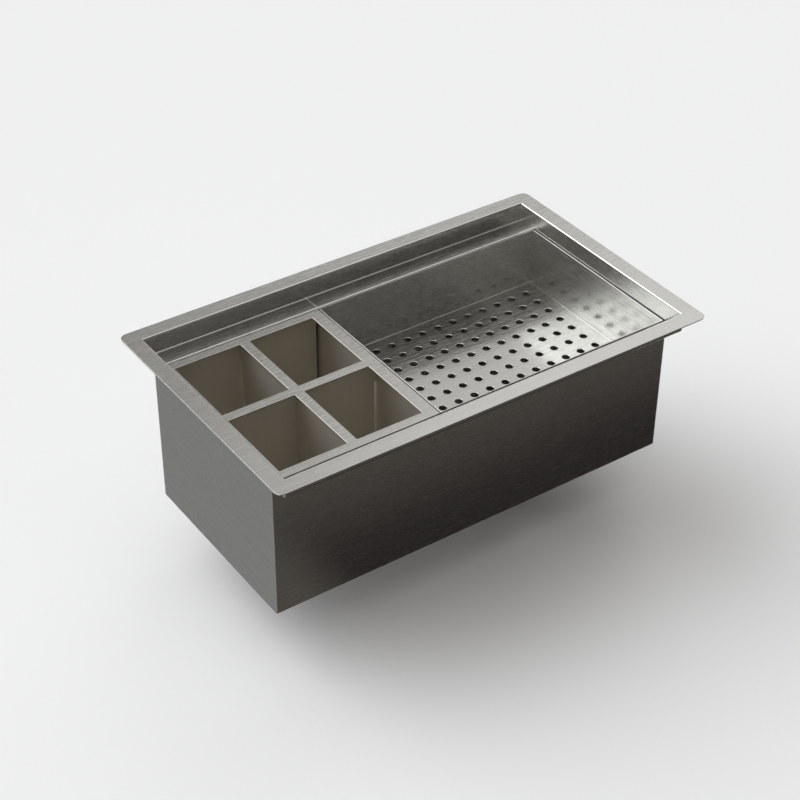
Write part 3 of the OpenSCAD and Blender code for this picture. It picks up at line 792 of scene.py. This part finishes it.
tray_floor_low, tray_floor_high = low["tray_floor"], high["tray_floor"]
hole_x, cell_x = hole_grid(TRAY_COLUMNS, tray_middle[0], tray_floor_low[0], tray_floor_high[0])
hole_y, cell_y = hole_grid(TRAY_ROWS, 0, tray_floor_low[1], tray_floor_high[1])
insert_piece("tray_floor", [], "tray", insert_steel["x"], uncapped=punched_plate(
    cell_x, cell_y, lambda i, j: round_hole((hole_x[i], hole_y[j]), TRAY_HOLE / 2, TRAY_HOLE_STEPS),
    tray_floor_low[2], tray_floor_high[2], HOLE_LIP, 0, TRAY_HOLE_STEPS))
print("tray holes:", TRAY_COLUMNS * TRAY_ROWS)

# %% Tray walls
TRAY_EDGE = 0.0005
tray_top = high["tray_wall_back"][2]
tray_fold = tray_floor_low[0] - low["tray_wall_left"][0] - insert_sheet
turn_up = insert_sheet + tray_fold
tray_wall_section = section(
    (0, tray_floor_low[2], 0), (turn_up, tray_floor_low[2], turn_up), (turn_up, tray_top, TRAY_EDGE),
    (tray_fold, tray_top, TRAY_EDGE), (tray_fold, tray_floor_high[2], tray_fold), (0, tray_floor_high[2], 0))


def mitred_wall(axis, out, run, far):
    """The wall's section, whose points are (distance outwards, z), cut at 45 degrees at both ends: there
    a point moves along the run by as much as it lies outwards."""
    along, out = np.array(AXES[axis], float), np.array(out, float)
    middle = tray_middle * PLAN + out * far
    return sweep(tray_wall_section, [middle - along * run, middle + along * run], [out - along, out + along],
                 (0, 0, 1))


half_x, half_y = ((tray_floor_high - tray_floor_low) / 2)[:2]
for word, axis, out, run, far in (("front", "x", (0, -1, 0), half_x, half_y),
                                  ("back", "x", (0, 1, 0), half_x, half_y),
                                  ("left", "y", (-1, 0, 0), half_y, half_x),
                                  ("right", "y", (1, 0, 0), half_y, half_x)):
    insert_piece("tray_wall_" + word, [mitred_wall(axis, out, run, far)], "tray", insert_steel[axis])
print("tray fold radius in mm:", round(float(tray_fold) * 1000, 2))

# %% [markdown]
# ## Caddy
#
# The caddy is a tall open box with four cells. Its top plate is cut with four windows whose edges are
# rounded over, so the bars between them shine at their edges. It could be a grid of bars, but the real
# one is a single plate, and its grain runs straight through the crossings. Two dividers lap in slots at
# half height, as cardboard dividers do. Each is an outline with a slot, thickened by a short sweep.

# %% Caddy plate
caddy_low, caddy_high = low["caddy_plate_top"], high["caddy_plate_top"]
caddy_middle = (caddy_low + caddy_high) / 2
caddy_half = (caddy_high - caddy_low) / 2
END_BAR = 0.01625
SIDE_BAR = 0.0125
MIDDLE_BAR = 0.0132
WINDOW_CORNER = 0.001
WINDOW_STEPS = 9
PLATE_EDGE = 0.0004
PLATE_LIP = 0.0006

window_half = (2 * caddy_half[:2] - 2 * np.array([END_BAR, SIDE_BAR]) - MIDDLE_BAR) / 4
window_at = window_half + MIDDLE_BAR / 2
plate_x = caddy_middle[0] + np.array([-1, 0, 1]) * (caddy_half[0] - PLATE_EDGE)
plate_y = np.array([-1, 0, 1]) * (caddy_half[1] - PLATE_EDGE)
insert_piece("caddy_plate_top", [], "caddy", insert_steel["x"], uncapped=punched_plate(
    plate_x, plate_y,
    lambda i, j: window((caddy_middle[0] + (2 * i - 1) * window_at[0], (2 * j - 1) * window_at[1]),
                        window_half, WINDOW_CORNER, WINDOW_STEPS),
    caddy_low[2], caddy_high[2], PLATE_LIP, PLATE_EDGE, WINDOW_STEPS))
print("caddy windows in mm:", (window_half * 2000).round(1))

# %% Caddy walls and dividers
base_top = high["caddy_base"][2]
caddy_wall_top = caddy_low[2]
TAB_HEIGHT = 0.030
SLIT = 0.003
LAP_CLEARANCE = 0.0003
for word, axis in (("front", "x"), ("back", "x"), ("left", "y"), ("right", "y")):
    node = "caddy_wall_" + word
    run, across = (0, 1) if axis == "x" else (1, 0)
    outline = rounded(rectangle(low[node][across], high[node][across], base_top, caddy_wall_top),
                      [DRESSED, DRESSED, 0, 0])
    wall = straight(axis, outline, low[node][run], high[node][run], DRESSED, DRESSED)
    insert_piece(node, [wall], "caddy", cell_steel)


def divider_outline(run, slot_low, slot_high):
    """A divider as (run, z): full length in its tabs at the top, narrower below them, with a slot in the
    middle that is open at the top or at the bottom."""
    half = run / 2
    inner = half - SLIT
    slot = insert_sheet / 2 + LAP_CLEARANCE
    tab = caddy_wall_top - TAB_HEIGHT
    right = [(inner, base_top), (inner, tab), (half, tab), (half, caddy_wall_top)]
    left = [(-half, caddy_wall_top), (-half, tab), (-inner, tab), (-inner, base_top)]
    if slot_high == caddy_wall_top:
        cut = [(slot, slot_high), (slot, slot_low), (-slot, slot_low), (-slot, slot_high)]
        return rounded(right + cut + left, 0)
    cut = [(-slot, slot_low), (-slot, slot_high), (slot, slot_high), (slot, slot_low)]
    return rounded(cut + right + left, 0)


slot_level = base_top + (caddy_wall_top - base_top) / 2
long_run = high["caddy_divider_long"][0] - low["caddy_divider_long"][0]
cross_run = high["caddy_divider_cross"][1] - low["caddy_divider_cross"][1]
for word, axis, outline in (("long", "y", divider_outline(long_run, slot_level, caddy_wall_top)),
                            ("cross", "x", divider_outline(cross_run, base_top, slot_level))):
    divider = straight(axis, outline, -insert_sheet / 2, insert_sheet / 2, DRESSED, DRESSED,
                       at=(caddy_middle[0], 0, 0))
    insert_piece("caddy_divider_" + word, [divider], "caddy", cell_steel)
print("slots meet at", round(float(slot_level), 4))

# %% Caddy base
BASE_HOLE = 0.008
BASE_PITCH = 0.030
BASE_COLUMNS = 2
BASE_ROWS = 3
BASE_STEPS = 6


def base_places(count, cell_at, half):
    """Hole places in two cells either side of the middle, and the edges of the cells round them."""
    one = (np.arange(count) - (count - 1) / 2) * BASE_PITCH
    holes = np.concatenate([one - cell_at, one + cell_at])
    return holes, np.concatenate([[DRESSED - half], (holes[:-1] + holes[1:]) / 2, [half - DRESSED]])


base_x, base_cell_x = base_places(BASE_COLUMNS, window_at[0], caddy_half[0])
base_y, base_cell_y = base_places(BASE_ROWS, window_at[1], caddy_half[1])
insert_piece("caddy_base", [], "caddy", cell_steel, uncapped=punched_plate(
    caddy_middle[0] + base_cell_x, base_cell_y,
    lambda i, j: round_hole((caddy_middle[0] + base_x[i], base_y[j]), BASE_HOLE / 2, BASE_STEPS),
    low["caddy_base"][2], base_top, HOLE_LIP, DRESSED, BASE_STEPS))
print("water holes in the caddy's base:", len(base_x) * len(base_y))

# %% [markdown]
# ## Turned pieces
#
# The strainer, its nuts and the basket are turned or pressed round one axis, so each is an outline of
# radius and height spun about it. A Screw modifier would spin it too, but the helical groove of a thread
# has to move the points on their way round: its depth is a wave of the height less the angle's share of
# a turn, so that it climbs one pitch per turn. The lugs and ribs of the nuts are made the same way.

# %% Turned pieces
TURN_STEPS = 96
THREAD_PITCH = 0.002
THREAD_DEPTH = 0.0007
THREAD_POINTS = 8
NEAR = 1e-6
SLOT_FINISH = {"drain_steel": drain_steel, "rubber": black_rubber, "fibre": washer_fibre}


def bent(angle, radius, z):
    """Points about the drain's axis: x = radius * cos(angle), y = radius * sin(angle)."""
    return np.stack([radius * np.cos(angle), radius * np.sin(angle), z], axis=-1) + drain_axis


def turned(outline, thread=None, lobed=None, steps=TURN_STEPS):
    """Spins an outline of (radius, z) about the drain's axis. A thread is (z0, z1, radius): between those
    heights, points at that radius get its groove. lobed moves a point out by its radius and angle."""
    a = 2 * np.pi * np.arange(steps) / steps
    radius = np.repeat(outline[:, :1], steps, axis=1)
    z = np.repeat(outline[:, 1:], steps, axis=1)
    if thread:
        z0, z1, at = thread
        groove = 0.5 - 0.5 * np.cos(2 * np.pi * (z - z0) / THREAD_PITCH - a)
        here = (abs(radius - at) < 10 * NEAR) & (z > z0 - NEAR) & (z < z1 + NEAR)
        fade = np.clip(np.minimum(z - z0, z1 - z) / THREAD_PITCH, 0, 1)
        radius = radius - here * THREAD_DEPTH * groove * fade
    if lobed:
        radius = lobed(radius, a)
    return bent(a, radius, z)


def threadable(outline, radius):
    """An outline with its upright run at one radius cut into short steps, for a thread to follow."""
    after = np.roll(outline, -1, axis=0)
    upright = (abs(outline[:, 0] - radius) < NEAR) & (abs(after[:, 0] - radius) < NEAR)
    short = np.maximum(1, np.round(abs(after[:, 1] - outline[:, 1]) * THREAD_POINTS / THREAD_PITCH))
    count = np.where(upright, short, 1).astype(int)
    number = np.arange(count.sum()) - np.repeat(np.cumsum(count) - count, count)
    share = (number / np.repeat(count, count))[:, None]
    return np.repeat(outline, count, axis=0) + np.repeat(after - outline, count, axis=0) * share


def round_piece(node, grids, how="turned", body="trough", slot="drain_steel", **options):
    """A round piece, named for how it was made, with the finish that its slot asks for."""
    return piece(node + "_" + how, grids, body, slot, SLOT_FINISH[slot], [node], **options)


def ring_outline(node, inner, edge):
    """The section of a plain ring that fills a node's box down to an inner radius."""
    return rounded(rectangle(inner, reach(node), low[node][2], high[node][2]), edge)


def button(radius, z0, z1, edge_low, edge_high):
    """The outline of a turned solid with round edges, without its two points on the axis. The flat
    faces inside it are closed by caps."""
    outline = section((0, z0, 0), (radius, z0, edge_low), (radius, z1, edge_high), (0, z1, 0))
    return outline[outline[:, 0] > NEAR]


print("thread turns on the spout:",
      round(float((high["strainer_spout"][2] - low["strainer_spout"][2]) / THREAD_PITCH), 1))

# %% [markdown]
# ## Strainer and its seals
#
# The bowl hangs in the floor's hole by its flange and ends in a threaded spout, which is a piece of its
# own here, as in the construction model. A rubber gasket and a fibre washer lie under the floor. A ring
# nut with six lugs presses them up against it, and draws the bowl's flange down from above. The lugs
# need more points round the turn than a plain ring does.

# %% Strainer
STRAINER_WALL = 0.0015
STRAINER_LIP = 0.0005
bowl_under = low["strainer_bowl"][2]
spout_under = low["strainer_spout"][2]
spout_radius = reach("strainer_spout")
spout_inner = spout_radius - STRAINER_WALL
flange_radius = reach("strainer_bowl")
bowl_inner = bowl_radius - STRAINER_WALL
bowl_outline = section(
    (spout_inner, bowl_under, 0), (bowl_radius, bowl_under, 0.003), (bowl_radius, floor_top, 0.0001),
    (flange_radius, floor_top, 0), (flange_radius, floor_top + STRAINER_LIP, 0.0002),
    (bowl_radius, floor_top + STRAINER_WALL, 0.0004), (bowl_inner, floor_top + STRAINER_WALL, 0.0009),
    (bowl_inner, bowl_under + STRAINER_WALL, 0.002), (spout_inner, bowl_under + STRAINER_WALL, 0.0005))
round_piece("strainer_bowl", [turned(bowl_outline)], closed_path=True)
spout_outline = threadable(section(
    (spout_inner, spout_under, 0.0002), (spout_radius, spout_under, 0.0002),
    (spout_radius, bowl_under, 0), (spout_inner, bowl_under, 0)), spout_radius)
round_piece("strainer_spout", [turned(spout_outline, thread=(spout_under, bowl_under, spout_radius))],
            closed_path=True)
print("flange radius:", round(float(flange_radius), 4), "spout radius:", round(float(spout_radius), 4))

# %% Gasket, washer and ring nut
THREAD_GAP = 0.0001
LUGS = 6
LUG_WIDTH = 0.010
LUG_OUT = 0.0035
LUG_TURN_STEPS = 432
LOBE_FLANK = 0.0012
LOBE_SKIN = 0.001
ring_inner = bowl_radius + THREAD_GAP


def lobes(count, width, stand_out, plain_radius):
    """Lugs or ribs round a nut: outside the plain radius a point stands out by a smooth step of how far
    it is from the nearest lobe's middle. The step is t * t * (3 - 2 t) over a flank's width."""
    def move(radius, a):
        """The radius, and the lobe's share of standing out at this angle."""
        pitch = 2 * np.pi / count
        off = np.abs((a + pitch / 2) % pitch - pitch / 2) * plain_radius
        rise = np.clip((width / 2 + LOBE_FLANK / 2 - off) / LOBE_FLANK, 0, 1)
        rise = rise * rise * (3 - 2 * rise)
        share = np.clip((radius - plain_radius + LOBE_SKIN) / LOBE_SKIN, 0, 1)
        return radius + stand_out * rise * share
    return move


round_piece("floor_gasket", [turned(ring_outline("floor_gasket", ring_inner, 0.0006))], "moulded",
            slot="rubber", closed_path=True)
round_piece("fibre_washer", [turned(ring_outline("fibre_washer", ring_inner, 0.0002))], "pressed",
            slot="fibre", closed_path=True)
ring_outer = reach("ring_nut") - LUG_OUT
ring_nut_outline = rounded(rectangle(ring_inner, ring_outer, low["ring_nut"][2], high["ring_nut"][2]),
                           [DRESSED, 2 * DRESSED, 2 * DRESSED, DRESSED])
round_piece("ring_nut", [turned(ring_nut_outline, lobed=lobes(LUGS, LUG_WIDTH, LUG_OUT, ring_outer),
                                steps=LUG_TURN_STEPS)], closed_path=True)
print("ring nut over its lugs:", round(float(2 * reach("ring_nut")), 4))

# %% [markdown]
# ## Outlet
#
# Under the spout hangs a straight outlet tube for a trap. A rubber washer seals its top against the
# spout, and a slip nut with twelve ribs holds its collar up by the spout's thread. The tube is 38.1 mm
# wide, a usual outlet. The nut's ribs are lobes too, so it only needs other numbers than the ring nut.

# %% Outlet
OUTLET_RADIUS = 0.01905
OUTLET_WALL = 0.0012
OUTLET_COLLAR = 0.0005
SLIP_WALL = 0.003
RIBS = 12
RIB_WIDTH = 0.005
RIB_OUT = 0.002
RIB_TURN_STEPS = 360
outlet_low, outlet_high = low["outlet_tube"][2], high["outlet_tube"][2]
outlet_inner = OUTLET_RADIUS - OUTLET_WALL
collar = OUTLET_RADIUS + OUTLET_COLLAR
slip_low, slip_high = low["slip_nut"][2], high["slip_nut"][2]
shoulder = slip_low + SLIP_WALL
round_piece("outlet_seal", [turned(ring_outline("outlet_seal", outlet_inner, 0.0003))], "moulded",
            slot="rubber", closed_path=True)
outlet_outline = section(
    (outlet_inner, outlet_low, 0.0004), (OUTLET_RADIUS, outlet_low, 0.0004),
    (OUTLET_RADIUS, slip_low, 0.0002), (collar, slip_low, 0.0002), (collar, shoulder, 0.0002),
    (spout_radius, shoulder, 0.0003), (spout_radius, outlet_high, 0.0003),
    (outlet_inner, outlet_high, 0.0004))
round_piece("outlet_tube", [turned(outlet_outline)], closed_path=True)
slip_inner = spout_radius + THREAD_GAP
slip_outer = slip_inner + SLIP_WALL
collar_gap = collar + THREAD_GAP
slip_outline = section(
    (collar_gap, slip_low, 0.0003), (slip_outer, slip_low, 0.0008), (slip_outer, slip_high, 0.0005),
    (slip_inner, slip_high, 0.0003), (slip_inner, shoulder, 0.0003), (collar_gap, shoulder, 0.0002))
round_piece("slip_nut", [turned(slip_outline, lobed=lobes(RIBS, RIB_WIDTH, RIB_OUT, slip_outer),
                                steps=RIB_TURN_STEPS)], closed_path=True)
print("drain pieces hang to", round(float(outlet_low), 4))

# %% [markdown]
# ## Basket
#
# The basket is a pressed cup with holes in its floor and its wall, a rubber seal below, and a stem with
# a knob to lift it by. The cup is made of the same punched cells as the tray, bent: a cell's x becomes
# an angle round the axis, and its y a distance from the axis in the floor or a height in the wall. The
# bends, the lip and the middle are spun, with one point for each point of the cells, so that all of it
# merges into one closed surface.

# %% Basket cup
BASKET_WALL = 0.001
BASKET_HOLE = 0.005
BASKET_FLOOR_HOLE = 0.0048
BASKET_FOLD = 0.002
FLOOR_HOLES = 12
FLOOR_STEPS = 12
WALL_HOLES = 18
WALL_STEPS = 8
WALL_HOLE_HEIGHT = 0.009
CUP_STEPS = WALL_HOLES * WALL_STEPS
basket_radius = reach("basket_cup")
cup_under = low["basket_cup"][2]
cup_floor = cup_under + BASKET_WALL
hole_ring = basket_radius - BASKET_WALL - BASKET_HOLE
floor_inner, floor_outer = hole_ring - BASKET_HOLE, basket_radius - BASKET_WALL - BASKET_FOLD
wall_low, wall_high = cup_floor + BASKET_FOLD, high["basket_cup"][2] - BASKET_WALL / 2


def ring_of_cells(count, steps, radius, ends, hole_at, hole_radius, faces):
    """Flat punched cells in a row that is as long as a circle of that radius, one centred on its start.
    ends are the cells' low and high y, faces the sheet's low and high z."""
    x = (np.arange(count + 1) - 0.5) * 2 * np.pi * radius / count
    return [punched_cell(cell_edge(x[i], x[i + 1], *ends, steps),
                         round_hole(((x[i] + x[i + 1]) / 2, hole_at), hole_radius, steps),
                         *faces, PUNCH_BURR) for i in range(count)]


floor_cells = [bent(cell[..., 0] / hole_ring, cell[..., 1], cell[..., 2])
               for cell in ring_of_cells(FLOOR_HOLES, FLOOR_STEPS, hole_ring, (floor_inner, floor_outer),
                                         hole_ring, BASKET_FLOOR_HOLE / 2, (cup_under, cup_floor))]
wall_cells = [bent(cell[..., 0] / basket_radius, basket_radius + cell[..., 2], cell[..., 1])
              for cell in ring_of_cells(WALL_HOLES, WALL_STEPS, basket_radius, (wall_low, wall_high),
                                        cup_floor + WALL_HOLE_HEIGHT, BASKET_HOLE / 2, (-BASKET_WALL, 0))]
quarter = np.radians(np.linspace(0, 90, FOLD_STEPS + 1))[:, None]
bend = np.array([floor_outer, wall_low])
down_and_out = np.hstack([np.sin(quarter), -np.cos(quarter)])
lip_middle = np.array([basket_radius - BASKET_WALL / 2, wall_high])
over_the_lip = np.hstack([np.cos(2 * quarter), np.sin(2 * quarter)])
underside = np.array([(0, cup_under), (floor_inner, cup_under)])
spun = (bend + (BASKET_WALL + BASKET_FOLD) * down_and_out, bend + BASKET_FOLD * down_and_out,
        lip_middle + BASKET_WALL / 2 * over_the_lip, underside, underside + (0, BASKET_WALL))
bands = [turned(outline, steps=CUP_STEPS) for outline in spun]
round_piece("basket_cup", [], "pressed", "basket", uncapped=floor_cells + wall_cells + bands)
print("basket radius:", round(float(basket_radius), 4), "points round it:", CUP_STEPS)

# %% Basket seal, stem and knob
STEM_STEPS = 48
for node, how, slot, edges, steps in (
        ("basket_seal", "moulded", "rubber", (0.0012, 0.0006), TURN_STEPS),
        ("basket_stem", "turned", "drain_steel", (DRESSED, DRESSED), STEM_STEPS),
        ("basket_knob", "moulded", "rubber", (0.002, 0.002), TURN_STEPS)):
    outline = button(reach(node), low[node][2], high[node][2], *edges)
    round_piece(node, [turned(outline, steps=steps)], how, "basket", slot)
print("knob radius:", round(float(reach("basket_knob")), 4))

# %% [markdown]
# ## Feet
#
# The tray and the caddy stand on four moulded rubber feet each. A foot is a button with a rounded sole:
# it is spun about the drain's axis like the other round pieces, and then moved to its corner.

# %% Feet
TRAY_FOOT = 0.0045
CADDY_FOOT = 0.008
FOOT_STEPS = 48
SOLE_EDGE = 0.0008
for node, body, radius in (("tray_feet", "tray", TRAY_FOOT), ("caddy_feet", "caddy", CADDY_FOOT)):
    outline = button(radius, low[node][2], high[node][2], SOLE_EDGE, DRESSED)
    places = [(x, y, 0) for x in (low[node][0] + radius, high[node][0] - radius)
              for y in (low[node][1] + radius, high[node][1] - radius)]
    grids = [turned(outline, steps=FOOT_STEPS) - drain_axis + np.array(place) for place in places]
    round_piece(node, grids, "moulded", body, "rubber")
print("feet radii:", TRAY_FOOT, CADDY_FOOT)

# %% [markdown]
# ## Studio light
#
# Metal shows its surroundings more than itself, so the studio is built for its reflections. The world
# is a dim, warm room with six soft panels: each is a bright patch about one direction that falls off
# smoothly, which is what a large diffuser does. Two stand behind the trough on the right, where the
# level faces mirror them. One on the left lights the right-hand walls, a weak one fills from the
# camera's side, one hangs overhead and one lies along the horizon. Area lamps would do as well, but a
# patch in the world has no edge that a brushed sheet could show.
#
# What the camera sees behind the object is a plain pale backdrop. Reflections show it only in a thin
# haze at the horizon, because the steel has to mirror a dark room.

# %% Studio light
ROOM_LIGHT = 0.05
ROOM_COLOUR = "#ffefd9"
BACKDROP = "#f4f4f3"
HAZE_ENDS = 0.12
HAZE_FULL = 0.02
# Azimuth, elevation and half width in degrees, strength at the middle, and colour.
PANELS = {
    "low key": (44, 22, 40, 0.32, "#fffefb"),
    "key": (57, 48, 25, 1.2, "#ffffff"),
    "left": (-43, 36, 46, 3.2, "#fdfeff"),
    "fill": (218, 32, 48, 0.2, "#fff6ea"),
    "overhead": (215, 80, 55, 0.86, "#ffffff"),
    "horizon": (30, 6, 19, 1.5, "#ffffff"),
}


def direction(azimuth, elevation):
    """A unit vector: azimuth from +Y towards +X, elevation above the horizon, in degrees."""
    a, e = math.radians(azimuth), math.radians(elevation)
    return (math.sin(a) * math.cos(e), math.cos(a) * math.cos(e), math.sin(e))


world = bpy.data.worlds.new("studio")
bpy.context.scene.world = world
world.use_nodes = True
room = world.node_tree
room.nodes.clear()
look = add(room, "TexCoord").outputs["Generated"]
total = add(room, "RGB").outputs["Color"]
total.default_value = (*(ROOM_LIGHT * np.array(linear(ROOM_COLOUR)[:3])).tolist(), 1.0)
for azimuth, elevation, half_width, strength, code in PANELS.values():
    facing = add(room, "VectorMath", {0: look, 1: direction(azimuth, elevation)}, operation="DOT_PRODUCT")
    glow = add(room, "MapRange", {"Value": facing.outputs["Value"],
                                  "From Min": math.cos(math.radians(half_width)), "From Max": 1.0,
                                  "To Min": 0.0, "To Max": strength}, interpolation_type="SMOOTHSTEP")
    tinted = add(room, "VectorMath", {0: linear(code)[:3], "Scale": glow.outputs["Result"]},
                 operation="SCALE").outputs["Vector"]
    total = add(room, "VectorMath", {0: total, 1: tinted}, operation="ADD").outputs["Vector"]
shine = add(room, "Background", {"Color": total, "Strength": 1.0}).outputs["Background"]
print("panels:", ", ".join(PANELS))

# %% Backdrop
paper = add(room, "Background", {"Color": linear(BACKDROP), "Strength": 1.0}).outputs["Background"]
height = add(room, "SeparateXYZ", {"Vector": look}).outputs["Z"]
haze = add(room, "MapRange", {"Value": height, "From Min": HAZE_ENDS, "From Max": HAZE_FULL},
           interpolation_type="SMOOTHSTEP").outputs["Result"]
rays = add(room, "LightPath").outputs
mirrored = add(room, "Math", {0: rays["Is Glossy Ray"], 1: haze}, operation="MULTIPLY").outputs["Value"]
direct = add(room, "Math", {0: rays["Is Camera Ray"], 1: rays["Is Transmission Ray"]},
             operation="MAXIMUM").outputs["Value"]
seen = add(room, "Math", {0: direct, 1: mirrored}, operation="MAXIMUM").outputs["Value"]
both_skies = add(room, "MixShader", {0: seen, 1: shine, 2: paper})
add(room, "OutputWorld", {"Surface": both_skies.outputs["Shader"]})
print("haze ends at", round(math.degrees(math.asin(HAZE_ENDS)), 1), "degrees")

# %% [markdown]
# ## Floor and cards
#
# A wide sheet of pale paper carries the object and takes its shadow. On it lie three cards that only
# reflections see, as a photographer lays black and grey card beside a bright object: a grey one at the
# left, a dark one at the front and a dark one below, which is a painted shadow of the trough. They give
# the upright outer faces their tone. The front card is partly a painted shadow as well: it is darkest next
# to the trough, where its shadow would fall, and fades lighter away from it, so the front wall isn't one
# flat tone.

# %% Floor and cards
FLOOR_HALF = 15.0
PAPER = "#ecedee"
floor_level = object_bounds()[0][2]
card_level = floor_level + 0.002


def flat_sheet(name, corners, level, material):
    """A flat stage object with four (x, y) corners at a level."""
    mesh = bpy.data.meshes.new(name)
    mesh.from_pydata([(x, y, level) for x, y in corners], [], [(0, 1, 2, 3)])
    mesh.materials.append(material)
    made = bpy.data.objects.new(name, mesh)
    bpy.context.scene.collection.objects.link(made)
    return made


def card(name, corners):
    """A glowing card that only reflections see, and the tree and the glow of its material."""
    material, tree, glow = new_material(name + "_card", "Emission")
    made = flat_sheet(name, corners, card_level, material)
    made.visible_camera = False
    made.visible_diffuse = False
    made.visible_shadow = False
    made.visible_transmission = False
    return tree, glow


floor_paper, paper_tree, paper_surface = new_material("white_backdrop_paper")
fill(paper_tree, paper_surface, {"Base Color": linear(PAPER), "Roughness": 0.9})
flat_sheet("studio_floor", rectangle(-FLOOR_HALF, FLOOR_HALF, -FLOOR_HALF, FLOOR_HALF), floor_level,
           floor_paper)

# The cards meet just outside the trough's lower front left corner.
CARD_X = -0.29
CARD_Y = -0.14
CARD_FAR = 2.5
CARD_SIDE = 2.0
UNDER_X = 0.30
UNDER_Y = 0.16
LEFT_GREY = "#919291"
FRONT_DARK = "#2f2c2b"
FRONT_LIGHT = "#5b5752"
FADE_Y = (-0.27, -0.42)
FADE_X = (-0.12, -0.19)
left_tree, left_glow = card("left_card", rectangle(-CARD_FAR, CARD_X, CARD_Y, CARD_SIDE))
fill(left_tree, left_glow, {"Color": linear(LEFT_GREY)})
front_tree, front_glow = card("front_card", [(-CARD_SIDE, -CARD_FAR), (CARD_FAR, -CARD_FAR),
                                            (CARD_FAR, CARD_Y), (CARD_X, CARD_Y)])
# The card below the trough is a painted shadow: a dark glow where the trough's shadow would fall on the
# paper.
under_tree, under_glow = card("painted_shadow_under", rectangle(CARD_X, UNDER_X, CARD_Y, UNDER_Y))
fill(under_tree, under_glow, {"Color": linear(FRONT_DARK)})
# The front card's fade is a painted shadow: darkest next to the trough's front and left, where its shadow
# would fall, and lighter further out.
on_card = add(front_tree, "SeparateXYZ", {"Vector": add(front_tree, "TexCoord").outputs["Object"]})
fades = [add(front_tree, "MapRange", {"Value": on_card.outputs[axis], "From Min": start, "From Max": end})
         for axis, (start, end) in (("Y", FADE_Y), ("X", FADE_X))]
lightness = add(front_tree, "Math", {0: fades[0].outputs["Result"], 1: fades[1].outputs["Result"]},
                operation="MAXIMUM").outputs["Value"]
fill(front_tree, front_glow, {"Color": two_tone(front_tree, lightness, (0, 1), FRONT_DARK, FRONT_LIGHT)})
bpy.context.scene.view_settings.view_transform = "Standard"
print("floor level:", round(float(floor_level), 4))
